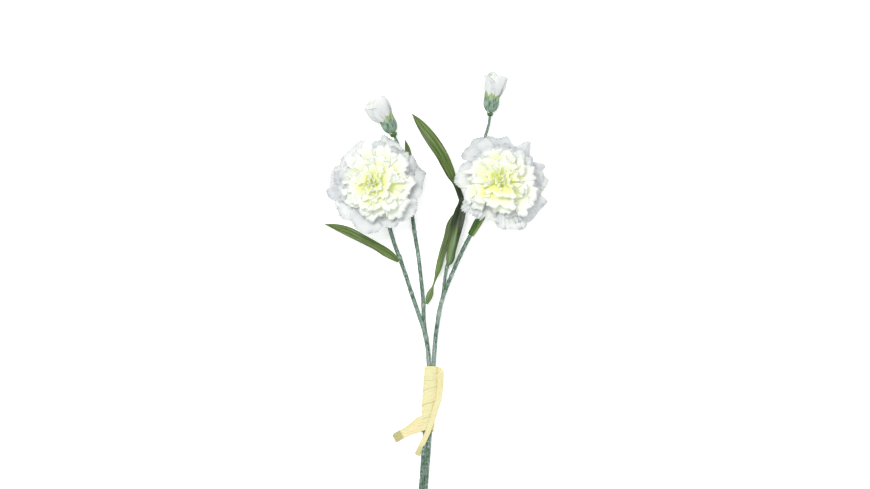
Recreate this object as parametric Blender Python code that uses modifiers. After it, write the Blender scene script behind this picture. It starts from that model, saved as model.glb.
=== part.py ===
"""Two cut carnation sprays tied together with a raffia ribbon and laid on a table.

Each spray is one branched stem with a double bloom, a bud and narrow leaves. The bunch lies on its
back: +Z is up, +Y runs from the cut ends to the buds, and the table is the plane Z = 0. The origin is
the middle of the bunch's footprint on the table. All sizes below are millimetres.
"""

import math

import bmesh
import bpy
import numpy as np
from mathutils import Vector

MM = 0.001
SEAM = 1e-6

# --- Driving sizes ---------------------------------------------------------------------------------
STEM_RADIUS = 1.8
BUD_STEM_RADII = (1.65, 1.1)  # of a bud's branch, at the fork and under the bud
STEM_PITCH = 3.96  # between the two stems' centrelines where the ribbon holds them side by side
CLEARANCE = 0.4  # left between a piece and its neighbour
ROUTE_STEP = 11.0  # between the sections of a stem

PETAL_THICKNESS = 0.4
LEAF_THICKNESS = 0.7

CALYX_LENGTH = 35.0
CALYX_RADIUS = 5.6
CALYX_WALL = 0.6
HEAD_BEND_LENGTH = 24.0  # the upper part of the calyx, along which the head turns up
STEM_ELEVATION = 8.0  # degrees above the table, of the calyx's lower end
FACE_ELEVATION = 70.0  # degrees above the table, of the way the bloom faces
HEART_TURN = 16.0  # degrees that the bloom's middle turns up further than that
HEART_HEIGHT = 27.0  # above the calyx, over which it turns

CLAW_RADIUS = 4.3  # of the ring of outer petals in the calyx's mouth
CLAW_TAPER = 0.85  # how far the innermost ring is drawn in
CLAW_DEPTH = 4.5  # of the petals' narrow ends inside the calyx
BLOOM_LIFT = 3.0  # of the petals' spreading point above the calyx's rim
OPENING = 103.0  # degrees from the bloom's axis, of the outermost petals
OUTER_LENGTH = 33.5
LENGTH_LOSS = 10.0  # shorter innermost petals
STRETCH = 0.08  # how much longer the petals are above and below the axis than at its sides
LOW_STRETCH = 0.06  # how much longer again they are on the low side
PETAL_RISE = 0.25  # how far a petal runs up before it spreads, as a share of its length

BUD_CALYX_LENGTH = 13.4
BUD_CALYX_RADIUS = 6.0
BUD_ELEVATION = 8.0
BUD_LENGTH = 33.0


# --- Materials -------------------------------------------------------------------------------------
def surface(name, colour, roughness):
    """A plain Principled finish."""
    material = bpy.data.materials.new(name)
    material.use_nodes = True
    shader = material.node_tree.nodes["Principled BSDF"]
    shader.inputs["Base Color"].default_value = (*colour, 1.0)
    shader.inputs["Roughness"].default_value = roughness
    shader.inputs["Metallic"].default_value = 0.0
    material.diffuse_color = (*colour, 1.0)
    return material


# --- Shapes ----------------------------------------------------------------------------------------
def smooth_route(points, step):
    """A Catmull-Rom curve through rows of numbers, read about every step."""
    points = np.array(points, float)
    spans = np.linalg.norm(np.diff(points[:, :3], axis=0), axis=1)
    at = np.concatenate([[0.0], np.cumsum(spans)])
    slopes = np.gradient(points, at, axis=0)
    read = np.linspace(0.0, at[-1], max(3, round(at[-1] / step) + 1))
    span = np.clip(np.searchsorted(at, read, side="right") - 1, 0, len(spans) - 1)
    length = spans[span][:, None]
    t = (read - at[span])[:, None] / length
    ends = points[span], points[span + 1]
    turns = slopes[span] * length, slopes[span + 1] * length
    return (
        (2 * t**3 - 3 * t**2 + 1) * ends[0]
        + (t**3 - 2 * t**2 + t) * turns[0]
        + (3 * t**2 - 2 * t**3) * ends[1]
        + (t**3 - t**2) * turns[1]
    )


def link(obj, material):
    obj.data.materials.append(material)
    bunch_collection.objects.link(obj)
    obj.parent = bunch
    return obj


def mapped_grid(name, columns, rows, place, material, thickness, wrap=False):
    """A sheet: a grid primitive moved by place(u, v), with u and v from 0 to 1, then given thickness.

    With wrap, the sheet's two sides meet and are merged, which makes a cup or a sleeve.
    """
    grid = bmesh.new()
    bmesh.ops.create_grid(grid, x_segments=columns, y_segments=rows, size=0.5)
    for corner in grid.verts:
        corner.co = Vector(place(corner.co.x + 0.5, corner.co.y + 0.5)) * MM
    if wrap:
        bmesh.ops.remove_doubles(grid, verts=grid.verts, dist=SEAM)
        bmesh.ops.recalc_face_normals(grid, faces=grid.faces)
    mesh = bpy.data.meshes.new(name)
    grid.to_mesh(mesh)
    grid.free()
    mesh.shade_smooth()
    obj = link(bpy.data.objects.new(name, mesh), material)
    shell = obj.modifiers.new("thickness", "SOLIDIFY")
    shell.thickness = thickness * MM
    shell.offset = 0.0
    return obj


def tube(name, route, material):
    """A round stalk along rows of (x, y, z, radius), as a mesh with its end caps welded on."""
    curve = bpy.data.curves.new(name, "CURVE")
    curve.dimensions = "3D"
    curve.bevel_depth = STEM_RADIUS * MM
    curve.bevel_resolution = 2
    curve.use_fill_caps = True
    spline = curve.splines.new("POLY")
    spline.points.add(len(route) - 1)
    for point, (x, y, z, radius) in zip(spline.points, route):
        point.co = (x * MM, y * MM, z * MM, 1.0)
        point.radius = radius / STEM_RADIUS
    source = bpy.data.objects.new(name + "_curve", curve)
    bunch_collection.objects.link(source)
    graph = bpy.context.evaluated_depsgraph_get()
    mesh = bpy.data.meshes.new_from_object(source.evaluated_get(graph))
    bpy.data.objects.remove(source)
    stalk = bmesh.new()
    stalk.from_mesh(mesh)
    bmesh.ops.remove_doubles(stalk, verts=stalk.verts, dist=SEAM)
    bmesh.ops.recalc_face_normals(stalk, faces=stalk.faces)
    stalk.to_mesh(mesh)
    stalk.free()
    mesh.name = name
    return link(bpy.data.objects.new(name, mesh), material)


def join(obj, other):
    """Grows another piece into this one with a Boolean union, and keeps the other as a hidden helper."""
    bunch_collection.objects.unlink(other)
    helper_collection.objects.link(other)
    other.hide_render = True
    other.display_type = "WIRE"
    union = obj.modifiers.new("join " + other.name, "BOOLEAN")
    union.operation = "UNION"
    union.object = other


# --- Flower heads ----------------------------------------------------------------------------------
def direction(heading, elevation):
    """Unit vector at a heading from +X towards +Y and an elevation above the table, in radians."""
    flat = math.cos(elevation)
    return Vector((flat * math.cos(heading), flat * math.sin(heading), math.sin(elevation)))


class Head:
    """The bent axis of a flower head.

    along = 0 is the calyx's mouth, where the axis has the face elevation. Below it the axis turns down,
    over bend_length, to the stem's elevation. Above it the axis turns up by heart_turn.
    """

    def __init__(self, mouth, heading, stem_elevation, face_elevation, bend_length, heart_turn=0.0):
        self.mouth = Vector(mouth)
        self.heading = math.radians(heading)
        self.stem = math.radians(stem_elevation)
        self.face = math.radians(face_elevation)
        self.bend_length = bend_length
        self.turn_below = (self.face - self.stem) / bend_length
        self.turn_above = math.radians(heart_turn) / HEART_HEIGHT

    def axis(self, along):
        """(point on the axis, elevation there)"""
        turn = self.turn_below if along < 0.0 else self.turn_above
        if turn == 0.0:
            return self.mouth + direction(self.heading, self.face) * along, self.face
        bent = max(-self.bend_length, min(along, HEART_HEIGHT))
        elevation = self.face + turn * bent
        flat = (math.sin(elevation) - math.sin(self.face)) / turn
        rise = (math.cos(self.face) - math.cos(elevation)) / turn
        point = self.mouth + direction(self.heading, 0.0) * flat + Vector((0.0, 0.0, rise))
        return point + direction(self.heading, elevation) * (along - bent), elevation

    def place(self, angle, radius, along):
        """A point at a distance from the axis. Angle 0 is to the side and -90 degrees is the low side."""
        point, elevation = self.axis(along)
        side = direction(self.heading - math.pi / 2, 0.0)
        up = direction(self.heading, elevation + math.pi / 2)
        return point + (side * math.cos(angle) + up * math.sin(angle)) * radius


def on_table(point, lowest):
    """Petals that would hang through the table bend and lie on it, or on what lies there."""
    if point.z < lowest:
        point.z = lowest + 0.1 * (point.z - lowest)
    return point


def petal_line(layer, share, swing, angle):
    """(radius, height) along a petal, for a layer from 0, outermost, to 1, at the heart.

    It is a quadratic curve from the mouth's ring, first along the axis and then out to the margin.
    swing is added to the opening angle, in degrees. A negative share is the claw inside the calyx.
    """
    ring = CLAW_RADIUS * (1.0 - CLAW_TAPER * layer)
    if share < 0.0:
        return ring, BLOOM_LIFT + CLAW_DEPTH * share
    length = (OUTER_LENGTH - LENGTH_LOSS * math.sqrt(layer)) * (
        1.0 + STRETCH * math.sin(angle) ** 2 - LOW_STRETCH * math.sin(angle)
    )
    opening = math.radians(OPENING * (1.0 - layer) ** 0.9 + swing)
    radius = ring + share**2 * length * math.sin(opening)
    rise = 2.0 * share * (1.0 - share) * PETAL_RISE * length + share**2 * length * math.cos(opening)
    return radius, BLOOM_LIFT + rise


GUARD_PETALS = 6
GUARD_CLAW_WIDTH = 24.0  # degrees to each side of a petal's middle, at its claw
GUARD_BLADE_WIDTH = 29.0
GUARD_RIPPLE = 3.0
GUARD_SHARES = (-1.0, 0.0, 0.3, 0.53, 0.77, 1.0)  # of a petal's length, at each row
WHORLS = {
    "outer_ruffle": (0.2, 5),
    "second_ruffle": (0.36, 5),
    "middle_ruffle": (0.54, 5),
    "inner_ruffle": (0.72, 4),
    "heart": (0.92, 3),
}  # layer from 0, outermost, to 1, and how many petals show at the margin
WHORL_RIPPLE = 6.0  # degrees
WHORL_NOTCH = 0.12  # how far the margin is cut back between two petals, as a share of the petal
WHORL_SHARES = (-1.0, 0.0, 0.3, 0.66, 1.0)


def bloom(name, head, turn, floor):
    """A double bloom: six separate guard petals round five nested ruffled whorls."""
    for number in range(GUARD_PETALS):
        middle = math.radians(turn + 360.0 * number / GUARD_PETALS)

        def guard(u, v):
            share = GUARD_SHARES[round(v * (len(GUARD_SHARES) - 1))]
            across = 2.0 * u - 1.0
            blade = max(0.0, share)
            width = GUARD_CLAW_WIDTH + (GUARD_BLADE_WIDTH - GUARD_CLAW_WIDTH) * blade
            angle = middle + math.radians(width) * across
            rounding = 1.0 - 0.12 * across**2 * blade
            swing = GUARD_RIPPLE * math.sin(3.0 * across + number) * blade
            radius, along = petal_line(0.0, share * rounding, swing, angle)
            return on_table(head.place(angle, radius, along), floor)

        mapped_grid(f"{name}_guard_petal_{number + 1}", 4, 5, guard, petal_white, PETAL_THICKNESS)
    for index, (whorl, (layer, lobes)) in enumerate(WHORLS.items()):
        phase = math.radians(turn + 50.0 * index)

        def ruffle(u, v):
            share = WHORL_SHARES[round(v * (len(WHORL_SHARES) - 1))]
            angle = 2.0 * math.pi * u
            wave = lobes * (angle + phase)
            blade = max(0.0, share)
            notch = 1.0 - WHORL_NOTCH * blade * (0.5 + 0.5 * math.cos(wave))
            swing = WHORL_RIPPLE * blade**2 * math.sin(wave)
            radius, along = petal_line(layer, share * notch, swing, angle)
            return head.place(angle, radius, along)

        colour = petal_cream if layer > 0.6 else petal_white
        mapped_grid(f"{name}_{whorl}", 6 * lobes, 4, ruffle, colour, PETAL_THICKNESS, wrap=True)


def toothed_cup(name, head, profile, teeth, tooth, columns, material, wall):
    """A cup along a head's axis, turned from a profile of (radius, along), with pointed teeth at its rim."""
    profile = np.array(profile, float)
    rows = len(profile) - 1

    def cup(u, v):
        radius, along = profile[round(v * rows)]
        if round(v * rows) == rows:
            wave = (u * teeth) % 1.0
            along += tooth * (1.0 - abs(2.0 * wave - 1.0))
        return head.place(2.0 * math.pi * u, radius, along)

    return mapped_grid(name, columns, rows, cup, material, wall, wrap=True)


def calyx(name, head):
    """The green cup that holds the petals: a tapered tube with five teeth."""
    middle = CALYX_RADIUS - CALYX_WALL / 2
    profile = [
        (1.0, -CALYX_LENGTH),
        (2.6, -CALYX_LENGTH + 0.4),
        (0.72 * middle, -CALYX_LENGTH + 4.0),
        (0.93 * middle, -HEAD_BEND_LENGTH),
        (middle, -0.7 * HEAD_BEND_LENGTH),
        (middle, -0.42 * HEAD_BEND_LENGTH),
        (middle, -0.18 * HEAD_BEND_LENGTH),
        (middle, 0.0),
    ]
    toothed_cup(name, head, profile, 5, 2.2, 15, calyx_green, CALYX_WALL)


def bracts(name, head, base, length):
    """The pair of scale leaves clasping the foot of the calyx and the top of the stem."""
    profile = [
        (STEM_RADIUS + CLEARANCE + 0.35, base - length),
        (STEM_RADIUS + CLEARANCE + 0.9, base - 0.45 * length),
        (3.6, base + 0.6),
        (0.72 * CALYX_RADIUS + 1.1, base + 4.0),
        (0.93 * CALYX_RADIUS + 0.8, base + 9.0),
    ]
    toothed_cup(name, head, profile, 4, 3.0, 12, bract_green, 0.5)


def bud(name, head, spread, lean, closing):
    """A bud just opening: a round calyx, a ring of outer petals open to spread, and a furled core.

    The petals lean over the table from the calyx's axis by lean, in degrees, and draw in again at the
    tips by a closing share.
    """
    middle = BUD_CALYX_RADIUS - CALYX_WALL / 2
    foot = [(1.0, 0.0), (2.6, 0.4), (0.82 * middle, 3.0)]
    shell = [*foot, (middle, 7.0), (0.95 * middle, BUD_CALYX_LENGTH)]
    toothed_cup(f"{name}_calyx", head, shell, 5, 3.0, 15, calyx_green, CALYX_WALL)
    heading = math.degrees(head.heading) + lean
    petals = Head(head.mouth, heading, BUD_ELEVATION, BUD_ELEVATION, HEAD_BEND_LENGTH)
    petals.mouth = petals.mouth + head.axis(8.0)[0] - petals.axis(8.0)[0]
    top = BUD_LENGTH - 3.1
    flare = [(2.6, 8.0), (3.0, 16.4), (0.82 * spread, 21.0), (spread, 26.0)]
    flare.append(((1.0 - closing) * spread, top))
    toothed_cup(f"{name}_outer_petals", petals, flare, 4, 2.5, 16, petal_white, PETAL_THICKNESS)
    core = [(1.4, 9.0), (1.8, 16.8), (0.5 * spread, 21.6), (0.6 * spread, 26.0), (0.5 * spread, top - 1.0)]
    toothed_cup(f"{name}_inner_petals", petals, core, 3, 2.0, 12, petal_white, PETAL_THICKNESS)
    collar = [(2.1, -3.0), (2.5, -1.6), (2.9, -0.9)]
    toothed_cup(f"{name}_bracts", head, collar, 3, 0.1, 12, bract_green, 0.4)


# --- Leaves ----------------------------------------------------------------------------------------
def leaf(name, route, width, neck, fold, roll):
    """A narrow leaf along a route, widest past its middle, folded along its midrib and rolled.

    neck is the width at the stem as a share of the full width, fold the rise of each edge as a share of
    the half width, and roll the blade's turn about its midrib at the base and the tip, in degrees.
    """
    line = smooth_route(route, 1.0)
    heads = np.gradient(line, axis=0)

    def blade(u, v):
        at = v * (len(line) - 1)
        point = Vector([np.interp(at, range(len(line)), line[:, k]) for k in range(3)])
        ahead = Vector(heads[round(at)]).normalized()
        side = ahead.cross(Vector((0.0, 0.0, 1.0))).normalized()
        up = side.cross(ahead)
        angle = math.radians(roll[0] + (roll[1] - roll[0]) * v)
        side, up = side * math.cos(angle) + up * math.sin(angle), up * math.cos(angle) - side * math.sin(angle)
        widening = neck + (1.0 - neck) * math.sin(math.pi * min(1.0, v / 0.96) ** 0.85) ** 0.9
        half = 0.5 * width * widening * min(1.0, (1.03 - v) / 0.25)
        across = 2.0 * u - 1.0
        return point + side * (half * across) + up * (fold * half * abs(across))

    return mapped_grid(name, 4, 12, blade, leaf_green, LEAF_THICKNESS)


# --- The raffia tie --------------------------------------------------------------------------------
def ribbon_piece(name, route, width, thickness):
    """A flat strip along a route of (x, y, z, tilt), where tilt turns its face from up, in degrees."""
    line = smooth_route(route, 1.0)
    heads = np.gradient(line[:, :3], axis=0)

    def strip(u, v):
        at = round(v * (len(line) - 1))
        ahead = Vector(heads[at]).normalized()
        side = ahead.cross(Vector((0.0, 0.0, 1.0))).normalized()
        up = side.cross(ahead)
        tilt = math.radians(line[at][3])
        return Vector(line[at][:3]) + (side * math.cos(tilt) + up * math.sin(tilt)) * (width * (u - 0.5))

    return mapped_grid(name, 2, 8, strip, raffia, thickness)


TIE_TOP = (-3.2, -32.6)
TIE_FOOT = (-6.2, -85.4)
TIE_WALL = 0.9
TIE_HEIGHT = STEM_RADIUS + CLEARANCE + TIE_WALL  # of the stems' centrelines above the table in the tie
TIE_HALF_WIDTHS = (4.7, 5.2, 5.5, 5.3, 4.9, 4.75)  # of the wound ribbon's middle, from top to foot


def tie():
    """The raffia ribbon: wound round both stems, with a folded loop at one side and two free tails."""
    half_height = STEM_RADIUS + CLEARANCE + TIE_WALL / 2

    def sleeve(u, v):
        angle = 2.0 * math.pi * u
        half_width = TIE_HALF_WIDTHS[round(v * (len(TIE_HALF_WIDTHS) - 1))]
        x = TIE_TOP[0] + (TIE_FOOT[0] - TIE_TOP[0]) * v
        y = TIE_TOP[1] + (TIE_FOOT[1] - TIE_TOP[1]) * v
        # An oval between an ellipse and a box, so that it clears two round stems side by side.
        x += half_width * math.copysign(abs(math.cos(angle)) ** 0.8, math.cos(angle))
        z = half_height * math.copysign(abs(math.sin(angle)) ** 0.6, math.sin(angle))
        return x, y, TIE_HEIGHT + z

    wound = mapped_grid("raffia_tie", 20, len(TIE_HALF_WIDTHS) - 1, sleeve, raffia, TIE_WALL, wrap=True)
    long_tail = [(-3.5, -70.0, 6.2, 0), (-9.0, -75.5, 6.6, 8)]
    long_tail += [(-16.0, -80.5, 4.6, 12), (-34.0, -91.5, 1.4, 4)]
    short_tail = [(-3.0, -76.0, 6.2, 0), (-6.2, -84.0, 6.7, 12)]
    short_tail += [(-9.6, -93.0, 6.9, 14), (-14.4, -103.0, 3.4, 10)]
    loop = [(1.6, -68.0, 3.9, 70), (4.2, -58.0, 4.4, 80), (6.2, -44.0, 4.4, 84), (4.6, -35.0, 4.2, 80),
            (1.2, -37.5, 4.0, 70)]
    join(wound, ribbon_piece("long_tail", long_tail, 8.0, 0.8))
    join(wound, ribbon_piece("short_tail", short_tail, 4.2, 0.8))
    join(wound, ribbon_piece("side_loop", loop, 4.6, 0.8))


# --- The bunch -------------------------------------------------------------------------------------
for old in list(bpy.data.objects):
    bpy.data.objects.remove(old)

bunch_collection = bpy.data.collections.new("carnation_bunch")
helper_collection = bpy.data.collections.new("helpers")
helper_collection.hide_render = True
bpy.context.scene.collection.children.link(bunch_collection)
bpy.context.scene.collection.children.link(helper_collection)
bunch = bpy.data.objects.new("bunch", None)
bunch_collection.objects.link(bunch)

stem_green = surface("stem_green", (0.20, 0.33, 0.24), 0.75)
calyx_green = surface("calyx_green", (0.28, 0.42, 0.29), 0.7)
bract_green = surface("bract_green", (0.16, 0.30, 0.06), 0.6)
leaf_green = surface("leaf_green", (0.14, 0.23, 0.05), 0.5)
petal_white = surface("petal_white", (0.86, 0.88, 0.88), 0.8)
petal_cream = surface("petal_cream", (0.86, 0.88, 0.52), 0.8)
raffia = surface("raffia", (0.90, 0.82, 0.46), 0.7)

# Heading is the way a head leans over the table, in degrees from +X towards +Y.
bloom_axis = (STEM_ELEVATION, FACE_ELEVATION, HEAD_BEND_LENGTH, HEART_TURN)
left_head = Head((-46.0, 111.5, 21.3), 106.0, *bloom_axis)
right_head = Head((51.5, 112.0, 21.3), 60.0, *bloom_axis)
left_bud = Head((-33.8, 153.8, 6.6), 115.0, BUD_ELEVATION, BUD_ELEVATION, HEAD_BEND_LENGTH)
right_bud = Head((44.0, 170.2, 5.8), 84.0, BUD_ELEVATION, BUD_ELEVATION, HEAD_BEND_LENGTH)


def stem_end(head, base, straight):
    """The last points of a stem's route, in line with the head, ending just short of it."""
    near, _ = head.axis(base - CLEARANCE - 0.3)
    middle, _ = head.axis(base - 0.5 * straight)
    back, _ = head.axis(base - straight)
    return [tuple(back), tuple(middle), tuple(near)]


def spray_stem(name, main, branch, main_head, branch_head, sheath):
    """One grown stem: a main stem up to the bloom, and a side branch that leaves it for the bud."""
    main = [(*point, STEM_RADIUS) for point in main + stem_end(main_head, -CALYX_LENGTH, sheath + 3.0)]
    branch = branch + stem_end(branch_head, 0.0, 8.0)
    thin = [(*point, radius) for point, radius in zip(branch, np.linspace(*BUD_STEM_RADII, len(branch)))]
    stem = tube(name, smooth_route(main, ROUTE_STEP), stem_green)
    join(stem, tube(name + "_branch", smooth_route(thin, ROUTE_STEP), stem_green))


HALF_PITCH = STEM_PITCH / 2
LEFT_SHEATH = 4.0  # of the bracts, below the bloom's calyx
RIGHT_SHEATH = 16.0
spray_stem(
    "left_spray_stem",
    [
        (-15.0 - HALF_PITCH, -204.0, STEM_RADIUS),
        (-12.0 - HALF_PITCH, -168.0, STEM_RADIUS),
        (-9.5 - HALF_PITCH, -131.0, 2.0),
        (-6.2 - HALF_PITCH, -86.0, TIE_HEIGHT),
        (-4.7 - HALF_PITCH, -60.0, TIE_HEIGHT),
        (-3.2 - HALF_PITCH, -32.0, TIE_HEIGHT),
        (-8.4, -5.4, 3.2),
        (-13.6, 9.8, 3.2),
        (-19.2, 26.6, 3.4),
        (-27.2, 50.6, 3.8),
        (-32.2, 64.0, 4.2),
    ],
    [
        (-7.6, -9.0, 3.2),
        (-9.0, 4.0, 3.1),
        (-9.4, 16.2, 2.8),
        (-11.2, 36.2, 2.2),
        (-13.6, 56.2, 2.0),
        (-16.4, 74.0, 1.9),
        (-19.0, 92.0, 1.8),
        (-22.5, 112.0, 1.8),
        (-26.5, 131.0, 2.2),
    ],
    left_head,
    left_bud,
    LEFT_SHEATH,
)
spray_stem(
    "right_spray_stem",
    [
        (-14.5 + HALF_PITCH, -198.0, STEM_RADIUS),
        (-12.0 + HALF_PITCH, -168.0, STEM_RADIUS),
        (-9.5 + HALF_PITCH, -131.0, 2.0),
        (-6.2 + HALF_PITCH, -86.0, TIE_HEIGHT),
        (-4.7 + HALF_PITCH, -60.0, TIE_HEIGHT),
        (-3.2 + HALF_PITCH, -32.0, TIE_HEIGHT),
        (1.6, 0.2, 3.2),
        (5.2, 19.0, 3.2),
        (13.9, 41.8, 3.6),
        (20.4, 56.5, 4.0),
    ],
    [
        (3.9, 12.0, 3.2),
        (6.4, 26.0, 3.0),
        (7.8, 38.0, 2.6),
        (10.6, 52.0, 2.2),
        (15.0, 70.0, 1.9),
        (22.4, 100.2, 1.7),
        (29.6, 117.0, 1.6),
        (35.6, 134.0, 1.6),
        (40.0, 151.0, 2.4),
    ],
    right_head,
    right_bud,
    RIGHT_SHEATH,
)

for name, head, turn, floor in (("left_bloom", left_head, 10.0, 7.2), ("right_bloom", right_head, 40.0, 1.0)):
    bloom(name, head, turn, floor)
    calyx(name + "_calyx", head)
bracts("left_bloom_bracts", left_head, -CALYX_LENGTH, LEFT_SHEATH)
bracts("right_bloom_bracts", right_head, -CALYX_LENGTH, RIGHT_SHEATH)
bud("left_bud", left_bud, 10.0, 12.0, 0.22)
bud("right_bud", right_bud, 8.8, -6.0, 0.04)

leaf("left_outer_leaf", [(-30.2, 51.6, 5.6), (-39.0, 58.5, 9.0), (-52.0, 65.5, 10.0), (-70.0, 75.0, 6.5),
                         (-88.0, 80.6, 1.6)], 8.4, 0.3, 0.28, (12.0, -8.0))
leaf("left_inner_leaf", [(-7.6, 17.6, 5.4), (-3.0, 27.0, 7.0), (1.0, 37.0, 6.4), (5.0, 54.0, 4.6),
                         (10.0, 71.0, 4.0), (14.6, 84.0, 3.4)], 6.6, 0.3, 0.3, (0.0, 25.0))
leaf("left_hidden_leaf", [(-17.8, 100.0, 3.2), (-18.4, 114.0, 3.4), (-20.6, 130.0, 3.0), (-23.8, 146.0, 2.2)],
     6.0, 0.3, 0.28, (0.0, 0.0))
leaf("right_lower_leaf", [(9.8, 47.0, 5.4), (13.0, 60.0, 8.6), (17.5, 76.0, 9.6), (20.5, 88.0, 8.0),
                          (22.6, 97.0, 6.0)], 11.0, 0.3, 0.3, (0.0, 0.0))
leaf("right_upper_leaf", [(20.5, 101.5, 4.4), (14.5, 114.0, 5.6), (9.0, 124.5, 6.6), (0.0, 141.0, 8.6),
                          (-9.0, 156.0, 6.4), (-18.0, 168.5, 2.0)], 9.6, 0.28, 0.3, (-20.0, 10.0))
tie()

# The bunch's footprint is centred on the origin and its lowest point rests on the table.
BUNCH_SHIFT = (0.089, 0.162, 0.0138)
bunch.location = Vector(BUNCH_SHIFT) * MM
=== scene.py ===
"""Two cut carnation sprays, tied with raffia and laid on a table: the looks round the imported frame."""

import math

import bmesh
import bpy
import numpy as np
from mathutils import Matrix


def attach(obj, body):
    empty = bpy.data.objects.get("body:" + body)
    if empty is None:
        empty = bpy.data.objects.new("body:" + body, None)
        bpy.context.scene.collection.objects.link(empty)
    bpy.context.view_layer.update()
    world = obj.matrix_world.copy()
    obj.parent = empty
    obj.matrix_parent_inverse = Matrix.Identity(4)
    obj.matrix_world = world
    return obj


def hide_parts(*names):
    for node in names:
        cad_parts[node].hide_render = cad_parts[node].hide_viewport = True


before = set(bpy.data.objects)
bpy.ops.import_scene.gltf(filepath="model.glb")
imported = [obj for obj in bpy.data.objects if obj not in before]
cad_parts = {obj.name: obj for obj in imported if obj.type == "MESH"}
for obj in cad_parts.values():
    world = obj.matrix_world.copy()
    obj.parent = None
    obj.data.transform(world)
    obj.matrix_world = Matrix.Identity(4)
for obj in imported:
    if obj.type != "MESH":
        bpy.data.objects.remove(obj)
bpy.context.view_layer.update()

# ==== The table, the light and the camera =====================================================
# The bunch lies on a wide white shooting table, lit faintly from within, in a bright studio: one
# large soft light almost overhead, a weaker one at the right, and white walls all round.
# The camera looks straight down, a little above the middle, so the cut ends are out of view.
MM = 0.001
VIEW_HEIGHT = 2.2
VIEW_WIDTH = 0.696  # of the table, from side to side
VIEW_CENTRE = (0.0, 0.0646)
SENSOR = 36.0
TABLE_WHITE, TABLE_GLOW = (0.93, 0.93, 0.935), 0.45
STUDIO_WHITE, STUDIO_STRENGTH = (0.97, 0.985, 1.0), 0.53
BUNCH_MIDDLE = (0.0, 0.05, 0.0)  # where both lights face


def stage_material(name, colour, roughness):
    """A matt Principled finish of one colour."""
    material = bpy.data.materials.new(name)
    material.use_nodes = True
    shader = material.node_tree.nodes["Principled BSDF"]
    shader.inputs["Base Color"].default_value = (*colour, 1.0)
    shader.inputs["Roughness"].default_value = roughness
    shader.inputs["Specular IOR Level"].default_value = 0.2
    return material


bpy.ops.mesh.primitive_plane_add(size=6.0, location=(0.0, 0.0, 0.0))
table = bpy.context.object
table.name = "table"
table.data.materials.append(stage_material("table_white", TABLE_WHITE, 0.6))
table_shader = table.data.materials[0].node_tree.nodes["Principled BSDF"]
table_shader.inputs["Emission Color"].default_value = (1.0, 1.0, 1.0, 1.0)
table_shader.inputs["Emission Strength"].default_value = TABLE_GLOW


def area_light(name, place, target, size, power, colour):
    """A square soft light at a place, facing a target."""
    light = bpy.data.lights.new(name, "AREA")
    light.size = size
    light.energy = power
    light.color = colour
    lamp = bpy.data.objects.new(name, light)
    bpy.context.scene.collection.objects.link(lamp)
    lamp.location = place
    aim = np.array(target) - np.array(place)
    lamp.rotation_euler = (
        math.acos(-aim[2] / np.linalg.norm(aim)),
        0.0,
        math.atan2(aim[1], aim[0]) - math.pi / 2,
    )
    return lamp


area_light("key_light", (-0.45, 0.6, 1.7), BUNCH_MIDDLE, 0.7, 22.0, (1.0, 0.997, 0.985))
area_light("fill_light", (1.1, -0.5, 1.2), BUNCH_MIDDLE, 1.0, 5.0, STUDIO_WHITE)

world = bpy.data.worlds.new("studio")
world.use_nodes = True
background = world.node_tree.nodes["Background"]
background.inputs["Color"].default_value = (*STUDIO_WHITE, 1.0)
background.inputs["Strength"].default_value = STUDIO_STRENGTH
bpy.context.scene.world = world
bpy.context.scene.view_settings.view_transform = "Standard"

camera_data = bpy.data.cameras.new("camera")
camera_data.sensor_width = SENSOR
camera_data.lens = SENSOR * VIEW_HEIGHT / VIEW_WIDTH
camera = bpy.data.objects.new("camera", camera_data)
camera.location = (*VIEW_CENTRE, VIEW_HEIGHT)
bpy.context.scene.collection.objects.link(camera)
bpy.context.scene.camera = camera

# ==== Spray stems =============================================================================
# Each spray is one branched stem of stiff wire, wound in overlapping turns of blue-green florist's
# tape. The tape is mottled and has pale flecks, partly its own speckle and partly painted glints.
# It thickens where a leaf or a branch is bound in, and a painted highlight makes it pale there. The
# stems run side by side through the ribbon to the cut ends.
BUNCH_SHIFT = np.array([0.089, 0.162, 0.0138])  # of the bunch's own frame, in millimetres
FOOT_RADIUS, STEM_RADIUS = 1.78, 1.62
BUD_STEM_RADII = {"left": (1.55, 1.55, 1.0), "right": (1.3, 1.25, 1.0)}  # foot, middle, bud
HALF_PITCH = 1.86
TIE_HEIGHT = 3.1
TAPE_PITCH = 6.5
TAPE_STEP = 0.13  # how far a turn of tape stands over the one below it
TAPE_LUMPS = 0.09
STEM_SIDES = 28
FULL_TURN = 2.0 * np.pi


def smooth_route(points, step):
    """A Catmull-Rom curve through rows of numbers, read about every step."""
    points = np.array(points, float)
    spans = np.linalg.norm(np.diff(points[:, :3], axis=0), axis=1)
    at = np.concatenate([[0.0], np.cumsum(spans)])
    slopes = np.gradient(points, at, axis=0)
    read = np.linspace(0.0, at[-1], max(3, round(at[-1] / step) + 1))
    span = np.clip(np.searchsorted(at, read, side="right") - 1, 0, len(spans) - 1)
    length = spans[span][:, None]
    t = (read - at[span])[:, None] / length
    return (
        (2 * t**3 - 3 * t**2 + 1) * points[span]
        + (t**3 - 2 * t**2 + t) * slopes[span] * length
        + (3 * t**2 - 2 * t**3) * points[span + 1]
        + (t**3 - t**2) * slopes[span + 1] * length
    )


def unit(vectors):
    """Rows of vectors, each divided by its length."""
    return vectors / np.maximum(np.linalg.norm(vectors, axis=-1, keepdims=True), 1e-12)


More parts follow.
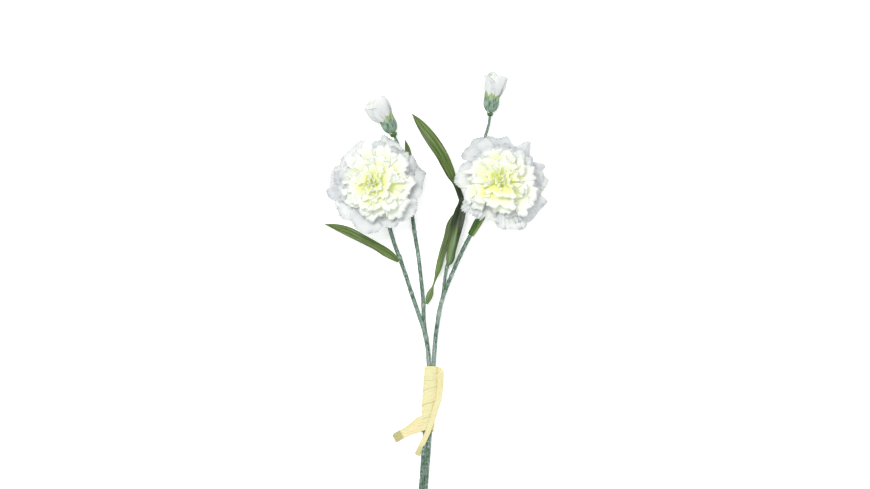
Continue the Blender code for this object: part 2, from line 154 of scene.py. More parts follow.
def add_piece(name, patches, material, nodes, wall=0.0, weld=True):
    """A mesh of one or more patches that replaces nodes of the frame.

    A patch is a grid of points (rows, columns, 3) in millimetres, a grid of texture places
    (rows, columns, 2), and a grid of tints (rows, columns). Neighbouring points make the quads.
    weld merges the points of a patch's seam and poles, and wall is the thickness to give it.
    """
    points, places, tints, quads = [], [], [], []
    first = 0
    for grid, place, tint in patches:
        rows, columns = grid.shape[:2]
        index = first + np.arange(rows * columns).reshape(rows, columns)
        corners = (index[:-1, :-1], index[:-1, 1:], index[1:, 1:], index[1:, :-1])
        quads.append(np.stack(corners, axis=-1).reshape(-1, 4))
        points.append(grid.reshape(-1, 3))
        places.append(np.broadcast_to(place, (rows, columns, 2)).reshape(-1, 2))
        tints.append(np.broadcast_to(tint, (rows, columns)).reshape(-1))
        first += rows * columns
    points, quads = (np.concatenate(points) + BUNCH_SHIFT) * MM, np.concatenate(quads)
    mesh = bpy.data.meshes.new(name)
    mesh.vertices.add(len(points))
    mesh.vertices.foreach_set("co", points.ravel())
    mesh.loops.add(quads.size)
    mesh.loops.foreach_set("vertex_index", quads.ravel().astype(np.int32))
    mesh.polygons.add(len(quads))
    mesh.polygons.foreach_set("loop_start", np.arange(0, quads.size, 4, dtype=np.int32))
    mesh.uv_layers.new(name="UVMap").data.foreach_set(
        "uv", np.concatenate(places)[quads.ravel()].astype(np.float32).ravel()
    )
    tint_layer = mesh.attributes.new("tint", "FLOAT", "POINT")
    tint_layer.data.foreach_set("value", np.concatenate(tints).astype(np.float32))
    mesh.update(calc_edges=True)
    if weld:
        joined = bmesh.new()
        joined.from_mesh(mesh)
        bmesh.ops.remove_doubles(joined, verts=joined.verts, dist=0.002 * MM)
        joined.to_mesh(mesh)
        joined.free()
    mesh.validate()
    mesh.shade_smooth()
    mesh.materials.append(material)
    piece = bpy.data.objects.new(name, mesh)
    bpy.context.scene.collection.objects.link(piece)
    if wall:
        shell = piece.modifiers.new("thickness", "SOLIDIFY")
        shell.thickness = wall * MM
        shell.offset = 0.0
    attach(piece, "root")
    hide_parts(*nodes)
    return piece


def new_material(name, roughness, **sockets):
    """A Principled material, its tree and its shader. Sockets go by their labels, _ for a space."""
    material = bpy.data.materials.new(name)
    material.use_nodes = True
    shader = material.node_tree.nodes["Principled BSDF"]
    shader.inputs["Roughness"].default_value = roughness
    for socket, value in sockets.items():
        shader.inputs[socket.replace("_", " ")].default_value = value
    return material, material.node_tree, shader


def add_node(tree, kind, inputs=None, **settings):
    """A node of a kind. inputs sets sockets: a number or colour is a value, else it is a link."""
    node = tree.nodes.new(kind)
    for name, value in settings.items():
        setattr(node, name, value)
    for name, value in (inputs or {}).items():
        if isinstance(value, bpy.types.NodeSocket):
            tree.links.new(value, node.inputs[name])
        else:
            node.inputs[name].default_value = value
    return node


def texture_place(tree, source, scale):
    """Texture coordinates, from UV or Object, stretched by a scale on each axis."""
    place = add_node(tree, "ShaderNodeTexCoord")
    return add_node(
        tree, "ShaderNodeMapping", {"Vector": place.outputs[source], "Scale": scale}
    ).outputs["Vector"]


def noise(tree, place, scale, detail=3.0, roughness=0.55, distortion=0.0):
    """A noise pattern's 0 to 1 value."""
    return add_node(
        tree,
        "ShaderNodeTexNoise",
        {"Vector": place, "Scale": scale, "Detail": detail, "Roughness": roughness,
         "Distortion": distortion},
    ).outputs["Fac"]


def ramp(tree, factor, stops):
    """A colour ramp with (place, colour) stops."""
    node = add_node(tree, "ShaderNodeValToRGB", {"Fac": factor})
    elements = node.color_ramp.elements
    while len(elements) < len(stops):
        elements.new(0.5)
    for element, (place, colour) in zip(elements, stops):
        element.position = place
        element.color = (*colour, 1.0)
    return node.outputs["Color"]


def mix(tree, factor, first, second):
    """Two colours mixed by a factor. Each is a link or a value."""
    node = add_node(tree, "ShaderNodeMix", data_type="RGBA")
    sockets = (node.inputs[0], node.inputs[6], node.inputs[7])
    for socket, value in zip(sockets, (factor, first, second)):
        if isinstance(value, bpy.types.NodeSocket):
            tree.links.new(value, socket)
        elif isinstance(value, tuple):
            socket.default_value = (*value, 1.0)
        else:
            socket.default_value = value
    return node.outputs[2]


def mask(tree, factor, low, high, least=0.0, most=1.0):
    """A grey that climbs from least to most as the factor goes from low to high."""
    return ramp(tree, factor, [(low, (least,) * 3), (high, (most,) * 3)])


def tint_of(tree):
    """The piece's own tint, from add_piece."""
    return add_node(tree, "ShaderNodeAttribute", attribute_name="tint").outputs["Fac"]


def math_node(tree, operation, first, second=0.5, clamp=False):
    """One arithmetic step."""
    return add_node(
        tree, "ShaderNodeMath", {0: first, 1: second}, operation=operation, use_clamp=clamp
    ).outputs[0]


def bump(tree, shader, height, strength, distance):
    """Raises the surface by a height pattern, distance deep."""
    node = add_node(
        tree, "ShaderNodeBump", {"Height": height, "Strength": strength, "Distance": distance}
    )
    tree.links.new(node.outputs["Normal"], shader.inputs["Normal"])


def across(line):
    """Unit vectors along, to the right of and above a route over the table."""
    ahead = unit(np.gradient(line[:, :3], axis=0))
    side = unit(np.cross(ahead, [0.0, 0.0, 1.0]))
    return ahead, side, np.cross(side, ahead)


def lumps(along, around, seed):
    """Uneven winding, from -1 to 1: three waves that run along and round the stem."""
    turn = np.random.default_rng(seed).uniform(0.0, FULL_TURN, 3)
    return (
        np.sin(along * 0.55 + 2.0 * around + turn[0])
        + np.sin(along * 0.23 - around + turn[1])
        + np.sin(along * 1.3 + 3.0 * around + turn[2])
    ) / 3.0


def taped_stalk(route, knots, seed):
    """A stalk along rows of (x, y, z, radius), wound with tape.

    Round the centre line, the radius is the wire's, plus a saw-tooth that climbs across each
    slanting turn of tape, plus lumps, plus a bell-shaped swelling at each knot (distance, height,
    width). Both ends close over a rounded rim.
    """
    line = smooth_route(route, 0.7)
    steps = np.linalg.norm(np.diff(line[:, :3], axis=0), axis=1)
    along = np.concatenate([[0.0], np.cumsum(steps)])[:, None]
    # Clockwise, seen from the foot, so that the faces point outwards.
    around = np.linspace(1.5 * np.pi, -0.5 * np.pi, STEM_SIDES + 1)[None, :]
    turn = (along / TAPE_PITCH + around / FULL_TURN) % 1.0
    radius = line[:, 3:4] + TAPE_STEP * (turn - 0.5) + TAPE_LUMPS * lumps(along, around, seed)
    for place, height, width in knots:
        radius = radius + height * np.exp(-(((along - place) / width) ** 2))
    _, side, up = across(line)
    offset = np.cos(around)[..., None] * side[:, None] + np.sin(around)[..., None] * up[:, None]
    grid = line[:, None, :3] + radius[..., None] * offset
    grid[..., 2] = np.maximum(grid[..., 2], 0.02)
    ends = []
    for end in (0, -1):
        middle = line[end, :3]
        ends.append([middle + (grid[end] - middle) * share for share in (0.0, 0.6, 0.93)])
    grid = np.concatenate([ends[0], grid, ends[1][::-1]])
    lengths = np.concatenate([[0.0] * 3, along[:, 0], [along[-1, 0]] * 3])
    place = np.stack(np.broadcast_arrays(around * STEM_RADIUS, lengths[:, None]), axis=-1)
    # The tint is a painted highlight, pale about each knot.
    pale = np.zeros(grid.shape[:2])
    for knot, _, width in knots:
        pale += np.exp(-(((lengths[:, None] - knot) / (0.7 * width)) ** 2))
    return grid, place, np.clip(pale, 0.0, 1.0)


def tape_material():
    """Blue-green tape: dark blotches drawn out along the stem, grey bloom, and pale flecks that are
    partly the tape's own speckle and partly painted glints. Each knot is paler, a painted highlight.
    """
    material, tree, shader = new_material("florists_tape", 0.5, Specular_IOR_Level=0.42)
    streaks = noise(tree, texture_place(tree, "UV", (0.9, 0.26, 1.0)), 1.0, 4.0, 0.6, 0.6)
    blotches = noise(tree, texture_place(tree, "UV", (0.35, 0.3, 1.0)), 1.0, 3.0, 0.65)
    flecks = noise(tree, texture_place(tree, "UV", (1.3, 0.5, 1.0)), 1.0, 2.0, 0.7)
    green = ramp(
        tree,
        streaks,
        [(0.34, (0.012, 0.036, 0.018)), (0.46, (0.06, 0.125, 0.075)), (0.57, (0.16, 0.25, 0.185)),
         (0.68, (0.38, 0.48, 0.42))],
    )
    green = mix(tree, mask(tree, blotches, 0.42, 0.62, most=0.5), green, (0.085, 0.17, 0.11))
    patchy = noise(tree, texture_place(tree, "UV", (0.12, 0.045, 1.0)), 1.0, 2.0, 0.6)
    green = mix(tree, mask(tree, patchy, 0.5, 0.6, most=0.6), green, (0.30, 0.39, 0.35))
    spots = noise(tree, texture_place(tree, "UV", (1.6, 0.9, 1.0)), 1.0, 2.0, 0.7)
    green = mix(tree, mask(tree, spots, 0.58, 0.66, most=0.85), green, (0.025, 0.055, 0.032))
    # Pale flecks: partly the tape's own speckle, partly painted glints.
    green = mix(tree, mask(tree, flecks, 0.61, 0.66), green, (0.68, 0.77, 0.72))
    # Painted highlight: paler where the tint marks a knot.
    knot = math_node(tree, "MULTIPLY", tint_of(tree), blotches, clamp=True)
    green = mix(tree, knot, green, (0.42, 0.52, 0.44))
    tree.links.new(green, shader.inputs["Base Color"])
    bump(tree, shader, streaks, 0.35, 0.0004)
    return material


def direction(heading, elevation):
    """Unit vectors at headings from +X towards +Y and elevations above the table, in radians."""
    flat = np.cos(elevation)
    ahead = (flat * np.cos(heading), flat * np.sin(heading), np.sin(elevation))
    return np.stack(np.broadcast_arrays(*ahead), axis=-1)


HEAD_BEND = 24.0  # length over which a head turns from its stem's elevation to its face's


class Head:
    """The bent axis of a flower head: straight above its mouth, and turning down below it."""

    def __init__(self, mouth, heading, stem_elevation, face_elevation):
        self.mouth = np.array(mouth, float)
        self.heading = math.radians(heading)
        self.face = math.radians(face_elevation)
        self.turn = (self.face - math.radians(stem_elevation)) / HEAD_BEND

    def axis(self, along):
        """(points on the axis, elevations there): an arc between two straight runs."""
        along = np.asarray(along, float)
        bent = np.clip(along, -HEAD_BEND, 0.0)
        elevation = self.face + self.turn * bent
        if self.turn:
            flat = (np.sin(elevation) - math.sin(self.face)) / self.turn
            rise = (math.cos(self.face) - np.cos(elevation)) / self.turn
        else:
            flat, rise = bent * math.cos(self.face), bent * math.sin(self.face)
        point = (
            self.mouth
            + direction(self.heading, 0.0) * flat[..., None]
            + np.array([0.0, 0.0, 1.0]) * rise[..., None]
        )
        return point + direction(self.heading, elevation) * (along - bent)[..., None], elevation

    def place(self, angle, radius, along):
        """Points at distances from the axis. Angle 0 is to the side, -90 degrees the low side."""
        point, elevation = self.axis(along)
        side = direction(self.heading - math.pi / 2, 0.0)
        up = direction(self.heading, elevation + math.pi / 2)
        offset = np.cos(angle)[..., None] * side + np.sin(angle)[..., None] * up
        return point + offset * radius[..., None]

    def stem_end(self, base, straight):
        """The last points of a stem's route, in line with the head."""
        return [tuple(self.axis(base - back)[0]) for back in (straight, 0.5 * straight, 0.7)]


CALYX_LENGTH = 35.0
SHEATHS = {"left": 4.0, "right": 16.0}  # of the bracts, below the bloom's calyx
STEM_ELEVATION = 8.0  # degrees over the table, of the stem where a head begins and of the buds
FACE_ELEVATION = 70.0  # of the blooms
BLOOM_HEADS = {
    "left": Head((-46.0, 111.5, 21.3), 106.0, STEM_ELEVATION, FACE_ELEVATION),
    "right": Head((51.5, 112.0, 21.3), 60.0, STEM_ELEVATION, FACE_ELEVATION),
}
BUD_HEADS = {
    "left": Head((-33.8, 153.8, 6.6), 115.0, STEM_ELEVATION, STEM_ELEVATION),
    "right": Head((44.0, 170.2, 5.8), 84.0, STEM_ELEVATION, STEM_ELEVATION),
}


def stem_foot(side, cut, middle):
    """The stretch that both stems share, side by side, from the cut end through the ribbon."""
    return [
        (middle + side, cut, 1.8),
        (-12.0 + side, -168.0, 1.8),
        (-9.5 + side, -131.0, 2.0),
        (-6.2 + side, -86.0, TIE_HEIGHT),
        (-4.7 + side, -60.0, TIE_HEIGHT),
        (-3.2 + side, -32.0, TIE_HEIGHT),
    ]


MAIN_ROUTES = {
    "left": stem_foot(-HALF_PITCH, -204.0, -15.0)
    + [(-8.4, -5.4, 3.2), (-13.6, 9.8, 3.2), (-19.2, 26.6, 3.4), (-27.2, 50.6, 3.8),
       (-32.2, 64.0, 4.2)],
    "right": stem_foot(HALF_PITCH, -198.0, -14.5)
    + [(1.6, 0.2, 3.2), (5.2, 19.0, 3.2), (13.9, 41.8, 3.6), (20.4, 56.5, 4.0)],
}
BRANCH_ROUTES = {
    "left": [(-7.6, -9.0, 3.2), (-9.0, 4.0, 3.1), (-9.4, 16.2, 2.8), (-11.2, 36.2, 2.2),
             (-13.6, 56.2, 2.0), (-16.4, 74.0, 1.9), (-19.0, 92.0, 1.8), (-22.5, 112.0, 1.8),
             (-26.5, 131.0, 2.2)],
    "right": [(3.9, 12.0, 3.2), (6.4, 26.0, 3.0), (7.8, 38.0, 2.6), (10.6, 52.0, 2.2),
              (15.0, 70.0, 1.9), (22.4, 100.2, 1.7), (29.6, 117.0, 1.6), (35.6, 134.0, 1.6),
              (40.0, 151.0, 2.4)],
}
# Distance along the stalk, height and width of each thickening.
MAIN_KNOTS = {
    "left": [(196.0, 0.45, 3.0), (232.0, 0.3, 1.4), (262.0, 0.7, 2.2), (248.0, 0.2, 1.0)],
    "right": [(208.0, 0.4, 3.0), (218.0, 0.3, 2.4), (240.0, 0.25, 1.2), (258.0, 0.2, 1.0)],
}
BRANCH_KNOTS = {
    "left": [(25.0, 0.45, 2.0), (46.0, 0.2, 1.0), (66.0, 0.2, 1.0), (84.0, 0.35, 1.6)],
    "right": [(35.0, 0.5, 1.6), (62.0, 0.2, 1.0), (92.0, 0.6, 2.4), (140.0, 0.3, 1.4)],
}
BRANCH_SEEDS = 7  # on from the main stalks' seeds
tape = tape_material()
for seed, spray in enumerate(("left", "right")):
    main = MAIN_ROUTES[spray] + BLOOM_HEADS[spray].stem_end(-CALYX_LENGTH, SHEATHS[spray] + 3.0)
    branch = BRANCH_ROUTES[spray] + BUD_HEADS[spray].stem_end(0.0, 8.0)
    thin = np.interp(np.linspace(0.0, 2.0, len(branch)), (0.0, 1.0, 2.0), BUD_STEM_RADII[spray])
    thin = np.column_stack([branch, thin])
    thick = np.interp(np.arange(len(main)), (5, 7), (FOOT_RADIUS, STEM_RADIUS))
    thick = np.column_stack([main, thick])
    stalks = [
        taped_stalk(thick, MAIN_KNOTS[spray], seed),
        taped_stalk(thin, BRANCH_KNOTS[spray], seed + BRANCH_SEEDS),
    ]
    add_piece(f"{spray}_spray_stem_taped", stalks, tape, [f"{spray}_spray_stem"])

# ==== Leaves ==================================================================================
# Long narrow leaves of thin pressed sheet, ribbed lengthwise and folded a little along the midrib.
# Each one narrows to a neck that clasps its stem, one over a short pale sheath. They are satin
# green with darker margins. The pair behind the right bloom is nearly black where they meet, which
# is painted shade, and the lower one has a blue-grey stripe of painted sheen.
LEAF_WALL = 0.35
LEAF_RIB, LEAF_RIBS = 0.06, 9.0  # height of the ribs, and how many fill half the width


def leaf(name, rows, fold, wave, tint):
    """A leaf along rows of (x, y, z, half width, roll in degrees).

    Across, it is a shallow V about the midrib with rounded legs, turned about the midrib by the
    roll. Its edges wave a little, and fine ribs run lengthwise. tint is a function of u, from -1
    to 1 across, and v, from 0 to 1 along.
    """
    line = smooth_route(rows, 0.5)
    u = np.linspace(-1.0, 1.0, 41)[None, :]
    _, side, up = across(line)
    half, angle = np.maximum(line[:, 3:4], 0.05), np.radians(line[:, 4:5])
    turned = side * np.cos(angle) + up * np.sin(angle)
    raised = up * np.cos(angle) - side * np.sin(angle)
    steps = np.linalg.norm(np.diff(line[:, :3], axis=0), axis=1)
    along = np.concatenate([[0.0], np.cumsum(steps)])[:, None]
    lift = fold * half * (np.sqrt(u**2 + 0.02) - 0.14)
    lift = lift + wave * half * 0.14 * np.sin(0.22 * along + 2.0 * np.sign(u)) * u**2
    lift = lift + LEAF_RIB * np.cos(np.pi * LEAF_RIBS * u) * np.minimum(1.0, half / 2.0)
    spread = turned[:, None] * (half * u)[..., None]
    grid = line[:, None, :3] + spread + raised[:, None] * lift[..., None]
    grid[..., 2] = np.maximum(grid[..., 2], 0.3)
    place = np.stack(np.broadcast_arrays(u, along), axis=-1)
    return add_piece(name + "_blade", [(grid, place, tint(u, along / along[-1]))], leaf_skin,
                     [name], LEAF_WALL)


def leaf_material():
    """Green drawn out lengthwise. Tint 0 is light, 0.6 dark, 1 the near black of painted shade, and
    -1 blue-grey: a painted sheen, and also the colour of the inner leaf's pale sheath.
    """
    material, tree, shader = new_material("leaf_skin", 0.42, Specular_IOR_Level=0.33)
    streaks = noise(tree, texture_place(tree, "UV", (3.2, 0.035, 1.0)), 1.0, 4.0, 0.6, 0.3)
    patches = noise(tree, texture_place(tree, "UV", (0.8, 0.07, 1.0)), 1.0, 2.0, 0.5)
    light = ramp(tree, streaks, [(0.36, (0.05, 0.11, 0.012)), (0.5, (0.135, 0.22, 0.036)),
                                 (0.62, (0.28, 0.38, 0.12))])
    dark = ramp(tree, streaks, [(0.34, (0.014, 0.03, 0.006)), (0.5, (0.036, 0.06, 0.016)),
                                (0.66, (0.13, 0.18, 0.10))])
    tint = tint_of(tree)
    green = mix(tree, math_node(tree, "MULTIPLY", tint, 1.67, clamp=True), light, dark)
    place = add_node(tree, "ShaderNodeTexCoord").outputs["UV"]
    width = add_node(tree, "ShaderNodeSeparateXYZ", {0: place}).outputs[0]
    edge = math_node(tree, "POWER", math_node(tree, "ABSOLUTE", width), 6.0)
    green = mix(tree, math_node(tree, "MULTIPLY", edge, 0.55), green, (0.05, 0.075, 0.02))
    patchy = math_node(tree, "MULTIPLY", patches, 0.5)
    green = mix(tree, patchy, green, (0.10, 0.155, 0.045))
    # Blue-grey: painted sheen on the lower leaf, and the pale sheath's own colour on the inner leaf.
    sheen = math_node(tree, "MULTIPLY", tint, -1.0, clamp=True)
    sheath_and_sheen_grey = ramp(tree, streaks, [(0.35, (0.11, 0.19, 0.13)), (0.62, (0.26, 0.38, 0.33))])
    green = mix(tree, sheen, green, sheath_and_sheen_grey)
    # Painted shade: nearly black where the leaves run in under the right bloom.
    shaded = math_node(tree, "MULTIPLY", math_node(tree, "SUBTRACT", tint, 0.6), 2.5, clamp=True)
    black = ramp(tree, streaks, [(0.4, (0.010, 0.019, 0.004)), (0.66, (0.04, 0.06, 0.025))])
    green = mix(tree, shaded, green, black)
    tree.links.new(green, shader.inputs["Base Color"])
    bump(tree, shader, streaks, 0.4, 0.0004)
    return material


leaf_skin = leaf_material()
leaf("left_outer_leaf",
     [(-29.4, 51.0, 5.4, 0.9, 0), (-33.5, 54.6, 7.2, 2.7, 8), (-39.0, 58.5, 9.0, 3.5, 12),
      (-46.0, 62.8, 9.8, 3.3, 8), (-57.0, 68.6, 9.4, 3.5, 2), (-70.0, 75.0, 6.5, 3.6, -4),
      (-80.0, 78.6, 3.6, 2.2, -8), (-88.0, 80.6, 1.6, 0.2, -8)],
     0.34, 1.0, lambda u, v: 0.12 + 0.16 * np.clip(-3.0 * u, 0.0, 1.0) + 0.0 * v)
leaf("left_inner_leaf",
     [(-6.7, 16.9, 5.0, 0.9, 0), (-5.4, 21.0, 6.0, 2.2, 0), (-3.8, 25.5, 6.9, 2.5, 0),
      (-1.9, 30.6, 7.1, 0.9, 5), (0.4, 37.4, 6.6, 1.1, 10), (2.4, 43.6, 5.6, 2.3, 15),
      (5.6, 56.0, 4.6, 2.7, 15), (9.8, 69.7, 4.1, 3.0, 15), (12.3, 81.0, 3.6, 2.6, 18),
      (16.0, 90.0, 3.4, 0.4, 20)],
     0.3, 1.0, lambda u, v: np.clip(2.0 * v - 0.9, 0.0, 0.3) + 0.2 * (u > 0.2) * (v > 0.4)
     - 0.3 * (v < 0.22) * (np.abs(u) < 0.5))
leaf("left_hidden_leaf",
     [(-17.8, 100.0, 3.2, 1.2, 0), (-18.6, 114.0, 3.4, 2.4, 0), (-20.2, 130.0, 3.0, 2.2, 0),
      (-22.4, 142.0, 2.6, 1.9, 0), (-24.0, 148.0, 2.2, 0.2, 0)],
     0.28, 0.5, lambda u, v: 0.3 + 0.0 * (u + v))
# The lower leaf darkens towards its top as painted shade under the bloom, and a blue-grey stripe of
# painted sheen runs up its middle.
leaf("right_lower_leaf",
     [(9.6, 46.8, 5.2, 0.3, 0), (11.6, 51.2, 6.6, 2.8, 0), (13.0, 59.4, 8.4, 3.6, 0),
      (15.6, 71.0, 9.4, 4.2, 0), (18.0, 82.5, 9.2, 5.0, 0), (20.0, 90.4, 7.8, 4.5, 0),
      (21.4, 97.3, 6.2, 3.0, 0), (21.8, 103.0, 5.2, 2.2, 0)],
     0.34, 1.0, lambda u, v: 0.24 + 0.3 * (u > 0.3) + 0.8 * np.clip((v - 0.34) / 0.26, 0.0, 1.0)
     - 1.15 * np.exp(-(((u - 0.05) / 0.3) ** 2)) * np.clip((0.68 - v) / 0.25, 0.0, 1.0))
# The upper leaf is nearly black at its neck, as painted shade.
leaf("right_upper_leaf",
     [(20.8, 101.0, 4.6, 2.2, -10), (18.4, 108.0, 5.0, 2.3, -15), (15.4, 114.6, 5.6, 2.5, -20),
      (12.6, 119.6, 6.2, 3.7, -20), (9.6, 126.4, 7.0, 4.3, -18), (5.0, 136.0, 8.2, 4.8, -10),
      (-1.4, 146.2, 8.2, 4.9, 0), (-8.0, 155.6, 6.6, 4.2, 6), (-13.4, 162.8, 4.2, 2.6, 10),
      (-18.4, 168.9, 1.9, 0.2, 10)],
     0.32, 1.0, lambda u, v: np.clip(1.35 - 4.4 * v, 0.12, 1.0)
     + 0.3 * np.clip(-3.0 * u - 1.0, 0.0, 1.0) + 0.22 * np.exp(-(((u - 0.15) / 0.12) ** 2)))

# ==== Calyxes and bracts ======================================================================
# The green cup that holds the petals is one moulded tube with five pointed teeth, and its foot is
# clasped by a pair of pointed scale leaves. They are matt grey-green, mottled, paler at the teeth.
CALYX_RADIUS = 5.6
BUD_CALYX_RADIUS = 6.0


def toothed_cup(head, profile, teeth, tooth, ribs, splay=0.05):
    """A cup turned about a head's axis from a profile of (radius, along), with teeth at its rim.

    The radius and height are read from a smooth curve through the profile. The last quarter of the
    way up stretches by a tooth-shaped share of tooth, and opens by a splay share of it. Shallow
    ribs run up the wall.
    """
    rows = smooth_route(np.column_stack([profile, np.zeros(len(profile))]), 0.5)
    share = np.linspace(0.0, 1.0, len(rows))[:, None]
    angle = np.linspace(0.0, FULL_TURN, 24 * teeth + 1)[None, :]
    wave = 1.0 - np.abs(2.0 * ((angle * teeth / FULL_TURN) % 1.0) - 1.0)
    reach = np.clip((share - 0.72) / 0.28, 0.0, 1.0) ** 1.3
    radius = rows[:, :1] + 0.09 * np.cos(ribs * angle) * np.sin(np.pi * share) ** 0.5
    radius = radius + splay * tooth * reach * wave
    along = rows[:, 1:2] + reach * (tooth * wave - 0.25 * tooth)
    grid = head.place(angle + 0.0 * share, radius + 0.0 * angle, along)
    place = np.stack(np.broadcast_arrays(angle * CALYX_RADIUS, rows[:, 1:2]), axis=-1)
    return grid, place, reach * (0.35 + 0.65 * wave)


def cup_material(name, dark, middle, pale, tip):
    """Mottled green drawn out along the cup, turning to the tip colour on its teeth."""
    material, tree, shader = new_material(name, 0.55, Specular_IOR_Level=0.35)
    streaks = noise(tree, texture_place(tree, "UV", (0.7, 0.22, 1.0)), 1.0, 4.0, 0.65, 0.5)
    spots = noise(tree, texture_place(tree, "UV", (0.9, 0.8, 1.0)), 1.0, 2.0, 0.7)
    green = ramp(tree, streaks, [(0.33, dark), (0.5, middle), (0.68, pale)])
    green = mix(tree, mask(tree, spots, 0.6, 0.75, most=0.6), green, pale)
    tree.links.new(mix(tree, tint_of(tree), green, tip), shader.inputs["Base Color"])
    bump(tree, shader, streaks, 0.35, 0.0004)
    return material


calyx_skin = cup_material("calyx_skin", (0.035, 0.075, 0.045), (0.17, 0.27, 0.19),
                          (0.42, 0.54, 0.46), (0.38, 0.50, 0.12))
bract_skin = cup_material("bract_skin", (0.015, 0.05, 0.006), (0.045, 0.125, 0.012),
                          (0.12, 0.21, 0.04), (0.18, 0.26, 0.07))
CALYX_WALL, BRACT_WALL = 0.5, 0.4
COLLAR_SLIMMING = {"left": 0.0, "right": 0.45}  # of the radius of the bracts below a bud
for spray, head in BLOOM_HEADS.items():
    middle = CALYX_RADIUS - 0.3
    cup = [(0.6, -35.0), (2.6, -34.6), (0.72 * middle, -31.0), (0.93 * middle, -24.0),
           (middle, -16.8), (middle, -10.0), (middle, -4.3), (middle, 0.6)]
    add_piece(f"{spray}_bloom_calyx_cup", [toothed_cup(head, cup, 5, 3.0, 10)], calyx_skin,
              [f"{spray}_bloom_calyx"], CALYX_WALL)
    foot = -CALYX_LENGTH - SHEATHS[spray] - 1.5
    scale = [(2.45, foot), (3.0, foot + 0.55 * SHEATHS[spray]), (3.6, -34.4), (5.1, -31.0),
             (6.0, -26.0)]
    grid, place, tint = toothed_cup(head, scale, 4, 4.0, 12)
    # The scale leaf on the right is paler than the one on the left.
    rightward = 6.0 * np.cos(place[..., 0] / CALYX_RADIUS)
    paler = np.clip(rightward - 1.5 + 0.6 * np.sin(place[..., 1]), 0.0, 1.0)
    add_piece(f"{spray}_bloom_bract_pair", [(grid, place, np.maximum(tint, 0.85 * paler))],
              bract_skin, [f"{spray}_bloom_bracts"], BRACT_WALL)
for spray, head in BUD_HEADS.items():
    middle = BUD_CALYX_RADIUS
    cup = [(0.6, 0.0), (2.6, 0.4), (0.82 * middle, 3.0), (middle, 7.0), (0.97 * middle, 10.8),
           (0.94 * middle, 13.4)]
    add_piece(f"{spray}_bud_calyx_cup", [toothed_cup(head, cup, 6, 4.4, 12, 0.28)], calyx_skin,
              [f"{spray}_bud_calyx"], CALYX_WALL)
    slim = COLLAR_SLIMMING[spray]
    collar = [(1.9 - slim, -3.2), (2.5 - slim, -2.2), (2.4 - slim, -1.6), (3.0 - slim, -0.9)]
    add_piece(f"{spray}_bud_bract_ring", [toothed_cup(head, collar, 3, 0.8, 6)], bract_skin,
              [f"{spray}_bud_bracts"], CALYX_WALL)

# ==== Bloom petals ============================================================================
# Each bloom is about sixty cut cloth petals on a common centre: wide, nearly flat guard petals
# outside, then four rings of crimped ones that stand up more and more, and four tufts of folded
# ones. Their margins are pinked in small teeth. The cloth is white, and lime cream in the heart.
# Painted shade greys the guard petals, the pleats, the creases and patches of the margins, and a
# faint glow stands for the light that comes through the thin cloth.
CLAW_RADIUS, CLAW_TAPER, CLAW_DEPTH = 4.3, 0.85, 4.5
BLOOM_LIFT = 3.0
OPENING = 103.0
OUTER_LENGTH, LENGTH_LOSS = 33.5, 10.0
STRETCH, LOW_STRETCH = 0.08, 0.06
PETAL_RISE = 0.25
RECURVE = 10.0  # degrees that the petals of the middle rings bend outwards at the margin
TURN_UP = 30.0  # degrees that the middle whorls stand up from the bloom's axis, per layer
RING_TRIM = {"left": 0.0, "right": 0.2}  # of the ring petals that face left
PETAL_WALL = 0.22
TOOTH_PITCH, TOOTH_DEPTH = 1.7, 1.1
PLEATS = 3.5  # across a pleated petal
LIME_REACH = 25.0  # from the bloom's axis
RUFFLE_GLOW, HEART_GLOW = 0.03, 0.12  # stand for the light that comes through the thin petals
# Guard petals: direction over the table and half width in degrees, size, and depth of pleats.
GUARDS = {
    "left": [(-158, 33, 1.12, 0), (-106, 25, 1.18, 0), (-72, 18, 1.04, 0), (-42, 26, 1.13, 0),
             (8, 28, 1.14, 0), (46, 30, 1.05, 0), (90, 36, 1.07, 0), (130, 34, 1.10, 0),
             (172, 28, 1.12, 0)],
    "right": [(164, 24, 0.98, 0), (-140, 19, 1.1, 2.5), (-108, 17, 1.0, 0), (-76, 23, 1.2, 1),
              (-34, 27, 1.14, 0), (8, 26, 1.14, 0), (42, 28, 1.15, 0), (70, 30, 1.17, 0),
              (98, 30, 1.18, 0), (122, 22, 1.12, 0)],
}
# Each ring's name, CAD node, first layer, number of petals, half width in degrees, and size.
RINGS = [
    ("outer_ring", "outer_ruffle", 0.12, 7, 33.0, 0.95),
    ("second_ring", "second_ruffle", 0.20, 8, 28.0, 0.92),
    ("third_ring", None, 0.31, 8, 27.0, 0.88),
    ("fourth_ring", None, 0.43, 8, 27.0, 0.9),
]
RING_SPACING = 0.11
# Each tuft's name, CAD node, number of folded petals, distance from the axis, radius and height.
TUFTS = [
    ("outer_tuft", None, 9, 21.5, 8.4, 14.5),
    ("middle_tuft", "middle_ruffle", 7, 14.0, 7.8, 21.5),
    ("inner_tuft", "inner_ruffle", 5, 8.0, 6.8, 25.5),
    ("heart_tuft", "heart", 2, 2.6, 4.8, 27.0),
]


def crimp(angle, layer, share, seed):
    """How far a petal's opening angle swings, in degrees: waves that run up to the margin.

    The waves drift slowly from layer to layer, so that neighbouring petals fold together.
    """
    turn = np.random.default_rng(seed).uniform(0.0, FULL_TURN, 4)
    strength = np.clip(0.25 + 2.2 * layer, 0.0, 1.0)
    waves = (
        4.0 * share**2 * np.sin(4.0 * angle + 3.0 * layer + turn[0])
        + 5.0 * share**2.5 * np.sin(9.0 * angle - 6.0 * layer + turn[1])
        + 4.0 * share**3 * np.sin(15.0 * angle + 8.0 * layer + turn[2])
        + 1.8 * share**4 * np.sin(27.0 * angle - 9.0 * layer + turn[3])
    )
    return strength * waves


